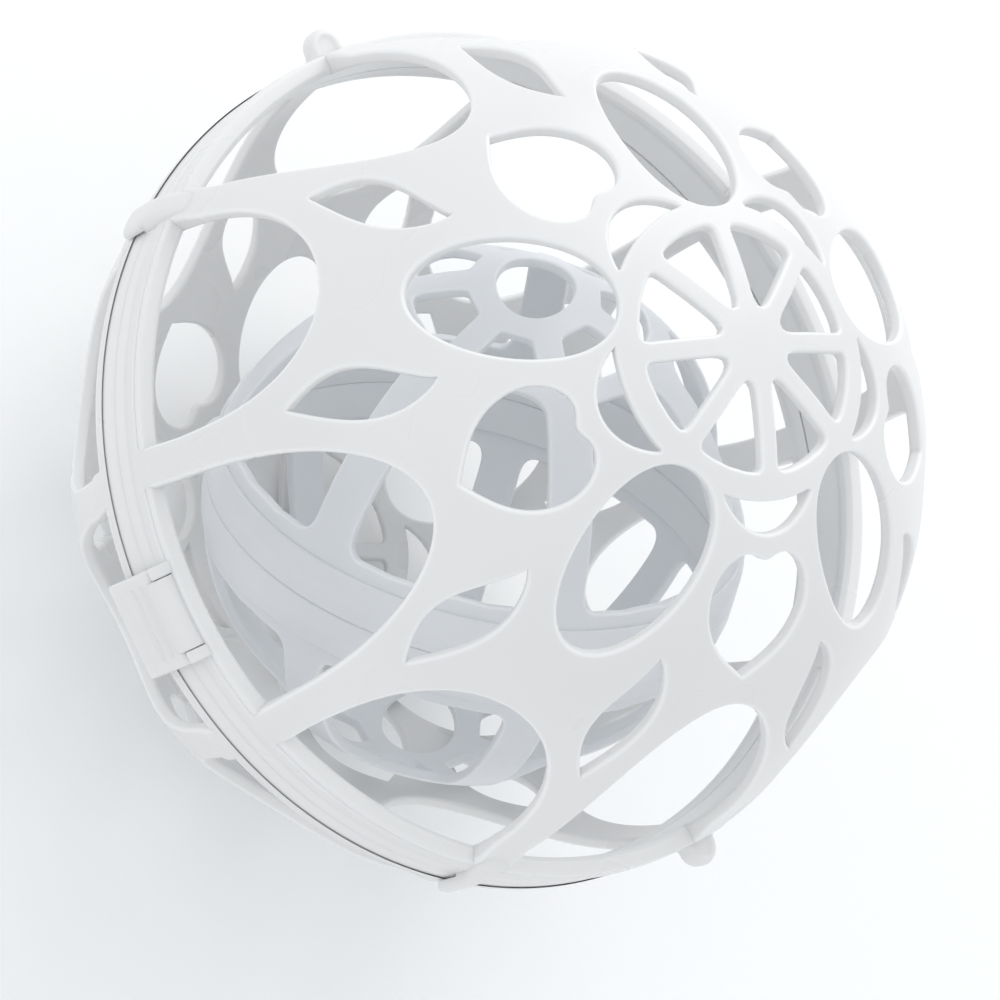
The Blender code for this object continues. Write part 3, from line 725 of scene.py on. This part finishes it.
def solid(name, bm, material, matrix=Matrix.Identity(4), sharp=None):
    """A piece from a bmesh, moved to its place, smooth and with its material."""
    mesh = bpy.data.meshes.new(name)
    bm.to_mesh(mesh)
    bm.free()
    mesh.transform(matrix)
    made = bpy.data.objects.new(name, mesh)
    scene.collection.objects.link(made)
    mesh.materials.append(material)
    mesh.shade_smooth()
    if sharp:
        mesh.set_sharp_from_angle(angle=math.radians(sharp))
    return made


def skinned(name, rows, matrix, sharp=None, material=shell_plastic, ring=False):
    """Rows of points joined by faces, closed into a ring or capped at both ends."""
    bm = bmesh.new()
    loops = [[bm.verts.new(point) for point in row] for row in rows]
    for a, b in zip(loops, loops[1:] + loops[:1] if ring else loops[1:]):
        for k in range(len(a)):
            j = (k + 1) % len(a)
            bm.faces.new((a[k], a[j], b[j], b[k]))
    if not ring:
        bm.faces.new(loops[0])
        bm.faces.new(loops[-1])
    bmesh.ops.recalc_face_normals(bm, faces=bm.faces[:])
    return solid(name, bm, material, matrix, sharp)


def circles(profile, steps):
    """A circle round Z for each (radius, z) of a profile."""
    turns = [math.tau * k / steps for k in range(steps)]
    return [[(r * math.sin(turn), -r * math.cos(turn), z) for turn in turns] for r, z in profile]


def turned_ring(name, profile, material, matrix, steps=ROUND_STEPS):
    """A closed (radius, z) profile turned round Z, with a faint painted highlight all over."""
    made = skinned(name, circles(profile, steps), matrix, material=material, ring=True)
    soft = made.data.attributes.new("painted_edge_highlight", "FLOAT", "POINT")
    soft.data.foreach_set("value", [RIM_PAINTED_HIGHLIGHT] * len(soft.data))
    return made


# %% Turn both rims
half_gap = SEAM_GAP / 2
BEAD_HEIGHT = 0.0013
BEAD_PROUD = 0.0013
GROOVE_WIDTH = 0.0005
INNER_CHAMFER = 0.0010
band_top = UPPER_RIM - BEAD_HEIGHT - GROOVE_WIDTH
upper_corners = [
    (RIM_INSIDE, UPPER_RIM - INNER_CHAMFER),
    (RIM_INSIDE + INNER_CHAMFER, UPPER_RIM),
    (ball_at(UPPER_RIM) + BEAD_PROUD, UPPER_RIM),
    (ball_at(band_top) + BEAD_PROUD, UPPER_RIM - BEAD_HEIGHT),
    (ball_at(band_top) + 0.0008, band_top + GROOVE_WIDTH / 2),
    (ball_at(band_top) + RIM_PROUD, band_top),
    (RIM_RADIUS, band_top / 2),
    (RIM_RADIUS, half_gap),
    (RIM_INSIDE + 0.0013, half_gap),
    (RIM_INSIDE + 0.0012, -0.0022),
    (RIM_INSIDE, -0.0022),
]
upper_round = [0.6, 0.6, 0.55, 0.45, 0.25, 0.45, 3.0, 0.05, 0.1, 0.3, 0.3]
lower_corners = [
    (RIM_INSIDE + 0.00165, -half_gap),
    (RIM_RADIUS, -half_gap),
    (RIM_RADIUS, -LOWER_RIM / 2),
    (ball_at(LOWER_RIM) + RIM_PROUD, -LOWER_RIM),
    (RIM_INSIDE + INNER_CHAMFER, -LOWER_RIM),
    (RIM_INSIDE, -LOWER_RIM + INNER_CHAMFER),
    (RIM_INSIDE, -0.0027),
    (RIM_INSIDE + 0.00165, -0.0027),
]
lower_round = [0.1, 0.05, 3.0, 0.8, 0.6, 0.6, 0.2, 0.1]


def soft_profile(corners, radii):
    """A profile in metres with its corners rounded by radii in millimetres."""
    scaled = [(r * 1000, z * 1000) for r, z in corners]
    return [(r / 1000, z / 1000) for r, z in rounded(scaled, radii, 5)]


to_centre = Matrix.Translation(CENTRE)
upper_rim = turned_ring("upper_rim", soft_profile(upper_corners, upper_round), shell_plastic, to_centre)
lower_rim = turned_ring("lower_rim", soft_profile(lower_corners, lower_round), shell_plastic, to_centre)

# %% [markdown]
# ## Pads at the poles
#
# The hub of each wheel is a plain disc that is just flat enough for the ball to stand on. It is a
# short turned button that melts into the hub.

# %% Hub buttons
PAD_RADIUS = 0.0050
PAD_DEPTH = 0.0022
hub_corners = [
    (PAD_RADIUS - 0.0008, BALL_RADIUS - PAD_DEPTH),
    (PAD_RADIUS, BALL_RADIUS - 0.0006),
    (PAD_RADIUS - 0.0004, BALL_RADIUS),
]
hub_rows = circles(soft_profile(hub_corners, [0.3, 0.3, 0.25]), 64)
upper_hub = skinned("upper_hub", hub_rows, to_centre, sharp=50)
lower_hub = skinned("lower_hub", hub_rows, to_centre @ OVER, sharp=50)
print("hub buttons:", upper_hub.name, lower_hub.name)

# %% [markdown]
# ## Tabs, lugs, knuckles and ears
#
# These small pieces are moulded onto the rims. Knuckles and ears are side views pushed out to their
# width, and a Bevel modifier softens their edges. Lugs, and later the clasp, have their rolled ends
# built in, level by level. A tab changes its section all the way down, so it is lofted.


# %% Pushed-out pieces
def side_frame(psi):
    """Columns: outwards, up, sideways."""
    out = direction(90, psi)
    up = Vector((0, 0, 1))
    return Matrix((out, up, out.cross(up))).transposed().to_4x4()


def arc_points(middle, radius, start, end, steps):
    points = []
    for k in range(steps + 1):
        turn = math.radians(start + (end - start) * k / steps)
        points.append((middle[0] + radius * math.cos(turn), middle[1] + radius * math.sin(turn)))
    return points


def pushed(name, outline, low, high, matrix, soften):
    """An outline pushed out between two depths, its edges softened by a Bevel that is then applied."""
    rows = [[(a, b, depth) for a, b in outline] for depth in (low, high)]
    made = skinned(name, rows, to_centre @ matrix)
    bevel = made.modifiers.new("soften", "BEVEL")
    bevel.width = soften
    bevel.segments = 3
    bevel.limit_method = "ANGLE"
    bevel.angle_limit = math.radians(35)
    bevel.harden_normals = True
    ready = made.evaluated_get(bpy.context.evaluated_depsgraph_get())
    mesh = bpy.data.meshes.new_from_object(ready)
    mesh.name = name
    made.modifiers.clear()
    made.data = mesh
    return made


def rolled(name, corners, low, high, matrix, radius, dish=0.0, radii=None):
    """Corners pushed out between two depths, both ends rolled over and the high one dished."""
    spots = [Vector(p) for p in corners]
    radii = radii or [0] * len(spots)
    area = sum(a.x * b.y - b.x * a.y for a, b in zip(spots, spots[1:] + spots[:1]))
    inward = []
    for i, spot in enumerate(spots):
        before = (spot - spots[i - 1]).normalized()
        after = (spots[(i + 1) % len(spots)] - spot).normalized()
        way = Vector((-before.y - after.y, before.x + after.x)) * math.copysign(1, area)
        inward.append(way.normalized() / max(0.7, way.length / 2))
    turns = [math.radians(15 * k) for k in range(7)]
    ends = [(radius * (1 - math.cos(turn)), radius * (1 - math.sin(turn))) for turn in turns]
    levels = [(low + depth, inset) for depth, inset in ends]
    levels += [(high - depth, inset) for depth, inset in reversed(ends)]
    if dish:
        levels += [(high - dish * eased(k / 6), radius + 0.0002 * k) for k in range(1, 7)]
    rows = []
    for depth, inset in levels:
        shrunk = [tuple(spot + way * inset) for spot, way in zip(spots, inward)]
        left = [max(0.05, r - inset * 1000) if r else 0 for r in radii]
        rows.append([(*p, depth) for p in soft_profile(shrunk, left)])
    return skinned(name, rows, to_centre @ matrix, sharp=60)


# %% Tabs over the seam
TAB_PSI = 54.0
SLIM_TAB = 0.0034
BROAD_TAB = 0.0070
TAB_WALL = 0.0018
TAB_DROP = 0.0072
TAB_RISE = 0.0150
TAB_ROOT = 0.0066
TAB_LEVEL = 0.0015
TAB_CROWN = 0.0002
tab_inside = RIM_RADIUS + 0.0005
tab_outside = tab_inside + TAB_WALL


def tab(name, psi, wide):
    """A tongue that leaves a rib, crosses the seam and laps the lower rim, with a rounded tip."""
    corner = SLIM_TAB / 2
    plain_drop = TAB_DROP - corner
    rows = []
    rises = [TAB_RISE * (1 - k / 24) for k in range(25)]
    rises += [-plain_drop * k / 6 for k in range(1, 7)]
    rises += [-plain_drop - corner * math.sin(math.radians(12 * k)) for k in range(1, 8)]
    for z in rises:
        reach = max(0.0, -z - plain_drop)
        cut_back = corner - math.sqrt(max(0.0, corner**2 - reach**2))
        half = wide / 2 + (TAB_ROOT / 2 - wide / 2) * eased((z - 0.0010) / 0.0080) - cut_back
        sunk = ball_at(max(0.0, z)) + swell_at(z) - 0.0003
        standing = eased((TAB_RISE - z) / (TAB_RISE - TAB_LEVEL))
        top = sunk + (tab_outside - sunk) * standing - 0.35 * cut_back
        low = tab_inside if z < SEAM_GAP else ball_at(z) - 0.0015
        row = []
        for k in range(13):
            across = -1 + k / 6
            fall = TAB_CROWN * across**2 + (top - low) * 0.45 * abs(across) ** 6
            row.append((top - fall, z, half * across))
        rows.append(row + [(low, z, half * 0.96), (low, z, -half * 0.96)])
    return skinned(name, rows, to_centre @ side_frame(psi), sharp=55)


tabs = [tab("broad_tab", -TAB_PSI, BROAD_TAB), tab("slim_tab", TAB_PSI, SLIM_TAB)]

# %% Lugs for the thumbs
LUG_PSI = 90.0
LUG_WIDTH = 0.0080
LUG_REACH = 0.0056
LUG_FLARE = 0.0030
LUG_WALL = 0.0040
LUG_LIFT = 0.0022
LUG_TRIM = 0.0003


def lug(name, psi):
    """A round-nosed lug with hollow fillets at its root and a shallow dish for the thumb."""
    half = LUG_WIDTH / 2
    nose = RIM_RADIUS + LUG_REACH - half
    root = math.sqrt(RIM_RADIUS**2 - (half + LUG_FLARE) ** 2) - 0.0006
    side = []
    for k in range(9):
        turn = math.radians(90 * k / 8)
        fillet = (LUG_FLARE + LUG_TRIM) * (1 - math.sin(turn))
        side.append((half - LUG_TRIM + fillet, nose - (nose - root) * math.cos(turn)))
    outline = side + arc_points((0, nose), half - LUG_TRIM, 5, 175, 20)
    outline += [(-x, y) for x, y in reversed(side)]
    low = half_gap + LUG_LIFT
    turned = Matrix.Rotation(math.radians(psi + 180), 4, "Z")
    return rolled(name, outline, low, low + LUG_WALL, turned, 0.0012, dish=0.0004)


lugs = [lug("left_lug", -LUG_PSI), lug("right_lug", LUG_PSI)]

# %% Hinge knuckles
KNUCKLE_RADIUS = 0.0030
HINGE_REACH = RIM_RADIUS + 0.0004 + KNUCKLE_RADIUS
HINGE_PIN_RADIUS = 0.00125
MIDDLE_KNUCKLE = 0.0080
OUTER_KNUCKLE = 0.0055
KNUCKLE_GAP = 0.0003
KNUCKLE_TRIM = 0.00002


def knuckle(name, low, high, way):
    """A knuckle with its foot above (way 1) or below (way -1) the seam."""
    foot = half_gap + 0.0004
    rim = RIM_RADIUS - 0.0012
    shoulder = (HINGE_REACH - KNUCKLE_RADIUS * 0.2, KNUCKLE_RADIUS)
    outline = [(rim, foot), (rim, KNUCKLE_RADIUS * 1.5), shoulder]
    outline += arc_points((HINGE_REACH, 0), KNUCKLE_RADIUS - KNUCKLE_TRIM, 80, -172, 28)
    outline = [(a, b * way) for a, b in outline]
    return pushed(name, outline, low, high, side_frame(180), 0.00045)


outer_end = MIDDLE_KNUCKLE / 2 + KNUCKLE_GAP
knuckles = {
    "upper": [knuckle("middle_knuckle", -MIDDLE_KNUCKLE / 2, MIDDLE_KNUCKLE / 2, 1)],
    "lower": [
        knuckle("left_knuckle", -outer_end - OUTER_KNUCKLE, -outer_end, -1),
        knuckle("right_knuckle", outer_end, outer_end + OUTER_KNUCKLE, -1),
    ],
}


# %% Round pins
PIN_ROUND = 0.0003


def pin(name, radius, length, middle):
    """A pin along X with softened ends."""
    half = length / 2
    end = [(radius - PIN_ROUND, half)]
    for turn in (30, 60, 90):
        out = PIN_ROUND * math.sin(math.radians(turn))
        along = PIN_ROUND * math.cos(math.radians(turn))
        end.append((radius - PIN_ROUND + out, half - PIN_ROUND + along))
    rows = circles(end + [(r, -x) for r, x in reversed(end)], 40)
    place = Matrix.Translation(middle) @ Matrix.Rotation(math.pi / 2, 4, "Y")
    return skinned(name, rows, place, sharp=40, material=pin_plastic)


hinge_span = MIDDLE_KNUCKLE + 2 * (KNUCKLE_GAP + OUTER_KNUCKLE)
hinge_axle = pin("hinge_axle", HINGE_PIN_RADIUS, hinge_span, CENTRE + Vector((0, HINGE_REACH, 0)))

# %% [markdown]
# ## The clasp
#
# A bowed plate hangs from a pin between two ears on the upper rim. It runs down over both rims and
# hooks under the edge of the lower one. Its side view holds every bend, so it is pushed out sideways
# and its ends are rolled over.

# %% Ears, barrel and plate
CLASP_RISE = 0.0060
CLASP_REACH = RIM_RADIUS + 0.0004
CLASP_PIN_RADIUS = 0.0009
BARREL_RADIUS = 0.0021
BARREL_WIDTH = 0.0137
PLATE_WIDTH = 0.0186
PLATE_WALL = 0.0019
EAR_WALL = 0.0023
EAR_RADIUS = 0.0022
CLASP_GAP = 0.00015
GRIP_RADIUS = 0.0012
GRIP_SINK = 0.00105
GRIP_TOP = 0.0003
GRIP_PITCH = 0.0030


def ear(name, side):
    low = BARREL_WIDTH / 2 + CLASP_GAP
    rim = RIM_RADIUS - 0.0018
    outline = [(rim, CLASP_RISE - EAR_RADIUS), (CLASP_REACH, CLASP_RISE - EAR_RADIUS)]
    outline += arc_points((CLASP_REACH, CLASP_RISE), EAR_RADIUS, -80, 80, 14)
    outline += [(rim, CLASP_RISE + EAR_RADIUS + 0.0006)]
    span = sorted((side * low, side * (low + EAR_WALL)))
    return pushed(name, outline, span[0], span[1], side_frame(0), 0.0004)


ears = [ear("left_ear", -1), ear("right_ear", 1)]
plate_inside = RIM_RADIUS + 0.0004
plate_outside = plate_inside + PLATE_WALL
shoulder = CLASP_RISE - EAR_RADIUS - CLASP_GAP
bend = -LOWER_RIM / 2
rim_edge = ball_at(LOWER_RIM) + RIM_PROUD + 0.0004
hook = -LOWER_RIM - 0.0004
foot = hook - 0.0015
plate_outline = [
    (plate_inside, shoulder),
    (plate_inside, bend),
    (rim_edge, hook + 0.0008),
    (rim_edge - 0.0004, hook),
    (rim_edge - 0.0020, hook - 0.0002),
    (rim_edge - 0.0020, foot + 0.0008),
    (rim_edge - 0.0010, foot),
    (rim_edge + PLATE_WALL, foot),
    (rim_edge + PLATE_WALL + 0.0004, foot + 0.0008),
    (rim_edge + PLATE_WALL, hook + 0.0016),
    (plate_outside, bend + 0.0004),
    (plate_outside, shoulder - PLATE_WALL / 3),
    (plate_outside - PLATE_WALL / 3, shoulder),
]
neck = [(plate_inside + 0.0004, 0), (plate_outside - 0.0001, 0)]
neck += arc_points((CLASP_REACH, CLASP_RISE), BARREL_RADIUS, -10, 260, 26)
neck += [(plate_inside + 0.0004, CLASP_RISE - BARREL_RADIUS)]
plate_round = [0.3, 2.0, 0.3, 0.3, 0.3, 0.4, 0.4, 0.5, 0.5, 0.8, 2.0, 0.8, 0.4]
front = side_frame(0)
plate_end = PLATE_WIDTH / 2
barrel_end = BARREL_WIDTH / 2
grip_end = plate_end - PLATE_WALL
clasp_plate = rolled("clasp_plate", plate_outline, -plate_end, plate_end, front, 0.0005, radii=plate_round)
clasp_barrel = rolled("clasp_barrel", neck, -barrel_end, barrel_end, front, 0.0002)
grips = []
for index in range(2):
    middle = (plate_outside - GRIP_SINK, GRIP_TOP - GRIP_PITCH * index)
    outline = arc_points(middle, GRIP_RADIUS, 0, 345, 47)
    grips.append(rolled(f"grip_{index}", outline, -grip_end, grip_end, front, 0.0009))
clasp_span = BARREL_WIDTH + 2 * (CLASP_GAP + EAR_WALL)
clasp_pin_place = CENTRE + Vector((0, -CLASP_REACH, CLASP_RISE))
clasp_axle = pin("clasp_axle", CLASP_PIN_RADIUS, clasp_span, clasp_pin_place)
print("clasp pieces:", clasp_plate.name, clasp_barrel.name, len(grips), "grips")

# %% [markdown]
# ## The inner ball
#
# The smaller ball keeps the middle open for the water. It is cut with seven tall windows, a ring of
# small round-cornered holes near each pole and an oval hole at the pole itself. The rosette is drawn
# out a little along one diameter, so it is made in one sheet instead of repeated.

# %% The inner pattern
INNER_RADIUS = 0.0540
INNER_WALL = 0.0022
WINDOWS = 7
WINDOW_START = 34.5
WINDOW_END = 77.5


def bay_hole(start, end, rib_half, radii, bow):
    """A hole between two ribs of even width, in degrees of arc, and two rings round the pole."""
    half = 180 / WINDOWS

    def corner(theta):
        return flat(theta, half - rib_half / math.sin(math.radians(theta)))

    inner, outer = corner(start), corner(end)
    edge_psi = math.degrees(math.atan2(outer[1], outer[0]))
    corners = [(inner[0], -inner[1]), (outer[0], -outer[1])]
    steps = [edge_psi * (2 * k / (bow + 1) - 1) for k in range(1, bow + 1)]
    corners += [flat(end, psi) for psi in steps] + [outer, inner]
    sizes = [radii[0], radii[1]] + [0] * bow + [radii[1], radii[0]]
    return rounded(corners, sizes, 10)


def stretched(points):
    drawn = []
    for u, v in points:
        share = max(0, 1 - (u * u + v * v) / WINDOW_START**2)
        drawn.append((u * (1 + 0.5 * share), v))
    return drawn


def inner_holes():
    pole = [flat(1, 3 * k) for k in range(120)]
    holes = [evened([(u * 14.0, v * 8.2) for u, v in pole], 0.9)]
    small = bay_hole(14.4, 26.0, 3.0, (1.6, 2.6), 2)
    tall = bay_hole(WINDOW_START, WINDOW_END, 4.6, (6.0, 5.0), 3)
    for k in range(WINDOWS):
        holes.append(evened(stretched(turned_flat(small, 360 / WINDOWS * k)), 0.9))
        holes.append(evened(turned_flat(tall, 360 / WINDOWS * k), 0.9))
    return holes


# %% Inner halves
INNER_BAND = 0.0090
INNER_PROUD = 0.0005
INNER_DROP = BALL_RADIUS - SHELL_WALL - INNER_RADIUS - INNER_PROUD - 0.0003
INNER_CENTRE = CENTRE + direction(180 - 25.2, 119.6) * INNER_DROP
inner_place = (
    Matrix.Translation(INNER_CENTRE)
    @ Matrix.Rotation(math.radians(-14.2), 4, "Z")
    @ Matrix.Rotation(math.radians(-44.5), 4, "Y")
    @ Matrix.Rotation(math.radians(45.0), 4, "Z")
)
INNER_FACE_STEP = 2.0
INNER_EDGE = 0.0006
inner_border = [flat(85.8, 3 * k) for k in range(120)]
inner_sheet = moulded_sheet(
    "inner_sheet", INNER_RADIUS, INNER_WALL, inner_holes(), inner_border, INNER_EDGE, INNER_FACE_STEP
)
band_radius = math.sqrt(INNER_RADIUS**2 - INNER_BAND**2)
inner_corners = [
    (band_radius - INNER_WALL - 0.0004, INNER_BAND - 0.0006),
    (band_radius + INNER_PROUD, INNER_BAND),
    (INNER_RADIUS + INNER_PROUD, INNER_BAND / 2),
    (INNER_RADIUS + INNER_PROUD, half_gap),
    (INNER_RADIUS - INNER_WALL - INNER_PROUD, half_gap),
]
inner_profile = soft_profile(inner_corners, [0.4, 0.7, 3.0, 0.45, 0.3])
inner_pieces = {}
for name, turn in (("inner_upper", 0), ("inner_lower", math.pi)):
    where = inner_place @ Matrix.Rotation(turn, 4, "Y")
    mesh = inner_sheet.copy()
    mesh.name = name + "_dome"
    mesh.transform(where)
    mesh.materials.append(inner_plastic)
    mesh.shade_smooth()
    true_normals(mesh, INNER_CENTRE, INNER_RADIUS, INNER_WALL)
    sheet = bpy.data.objects.new(name + "_dome", mesh)
    scene.collection.objects.link(sheet)
    band = turned_ring(name + "_band", inner_profile, inner_plastic, where, 160)
    inner_pieces[name] = [sheet, band]
    print(sheet.name, "faces:", len(mesh.polygons))

# %% [markdown]
# ## Riding on the bodies
#
# Each piece rides on the mechanical body that it belongs to, and the plain solid that it replaces is
# hidden. The hinge then carries the whole upper half, and the clasp swings on the upper rim.

# %% Hand the pieces over
upper_pieces = [domes["upper"], upper_rim, upper_hub, *tabs, *lugs, *knuckles["upper"], *ears]
lower_pieces = [domes["lower"], lower_rim, lower_hub, *knuckles["lower"]]
groups = [
    (upper_pieces, "upper_shell", "lid", "shell_plastic"),
    (lower_pieces, "lower_shell", "base", "shell_plastic"),
    ([clasp_plate, clasp_barrel, *grips], "clasp", "latch", "shell_plastic"),
    ([hinge_axle], "hinge_pin", "lid", "pin_plastic"),
    ([clasp_axle], "clasp_pin", "latch", "pin_plastic"),
    (inner_pieces["inner_upper"], "inner_upper", "inner_ball", "inner_plastic"),
    (inner_pieces["inner_lower"], "inner_lower", "inner_ball", "inner_plastic"),
]
for pieces, node, body, slot in groups:
    for piece in pieces:
        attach(piece, body)
        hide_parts(node)
print("pieces:", sum(len(entry[0]) for entry in groups))

# %% [markdown]
# ## Floor, light and camera
#
# The plastic is lit softly from all round, a little more from the top right. A pale floor, an even
# white world and two large lamps give that. The floor is nearly white where the camera or a
# reflection sees it and a touch darker as a source of light, so the white background adds no light
# to the ball. The camera's place was worked out from the ball's outline and its cut-outs.


# %% Floor
def pale_floor(seen, lit, roughness):
    """A floor that is seen in one tone and lights the ball from below in another."""
    made = bpy.data.materials.new("pale_floor")
    made.use_nodes = True
    nodes, links = made.node_tree.nodes, made.node_tree.links
    shader = nodes["Principled BSDF"]
    shader.inputs["Roughness"].default_value = roughness
    ray_kind = nodes.new("ShaderNodeLightPath")
    tone = nodes.new("ShaderNodeMix")
    tone.data_type = "RGBA"
    tone.inputs["A"].default_value = (*lit, 1)
    tone.inputs["B"].default_value = (*seen, 1)
    seen_by = ray_kind.outputs["Is Camera Ray"]
    for other in ("Is Glossy Ray", "Is Transmission Ray"):
        either = nodes.new("ShaderNodeMath")
        either.operation = "MAXIMUM"
        links.new(seen_by, either.inputs[0])
        links.new(ray_kind.outputs[other], either.inputs[1])
        seen_by = either.outputs[0]
    links.new(seen_by, tone.inputs["Factor"])
    links.new(tone.outputs["Result"], shader.inputs["Base Color"])
    return made


bm = bmesh.new()
bmesh.ops.create_grid(bm, x_segments=1, y_segments=1, size=3.0)
floor = solid("floor", bm, pale_floor((0.98, 0.985, 0.99), (0.90, 0.895, 0.89), 0.7))

# %% Lamps and world
view_right = Vector((0.4250, 0.7178, 0.5514)).normalized()
view_ahead = Vector((0.0331, 0.5965, -0.8020)).normalized()
view_up = view_right.cross(view_ahead).normalized()
view_right = view_ahead.cross(view_up).normalized()


def lamp(name, right, up, back, size, watts, colour):
    """A square lamp placed by the photograph's right, up and backward directions, facing the ball."""
    data = bpy.data.lights.new(name, "AREA")
    data.size = size
    data.energy = watts
    data.color = colour
    made = bpy.data.objects.new(name, data)
    spot = view_right * right + view_up * up - view_ahead * back
    made.location = CENTRE + spot
    made.rotation_euler = spot.to_track_quat("Z", "Y").to_euler()
    scene.collection.objects.link(made)
    return made


lamp("top_right", 0.55, 0.75, 0.05, 0.7, 2.6, (1.0, 0.99, 0.97))
lamp("front_left", -0.5, 0.25, 0.9, 0.9, 0.8, (0.95, 0.98, 1.0))
world = bpy.data.worlds.new("soft_white")
world.use_nodes = True
world.node_tree.nodes["Background"].inputs["Color"].default_value = (0.96, 0.98, 1.0, 1)
world.node_tree.nodes["Background"].inputs["Strength"].default_value = 0.90
scene.world = world

# %% Camera
camera_data = bpy.data.cameras.new("photo_camera")
camera_data.lens = 129.31
camera_data.sensor_width = 36
camera_data.clip_start = 0.01
camera = bpy.data.objects.new("photo_camera", camera_data)
scene.collection.objects.link(camera)
pose = Matrix((view_right, view_up, -view_ahead)).transposed().to_4x4()
pose.translation = CENTRE + Vector((-0.1822, -5.0714, 6.7490)) * BALL_RADIUS
camera.matrix_world = pose
scene.camera = camera
scene.view_settings.view_transform = "Standard"
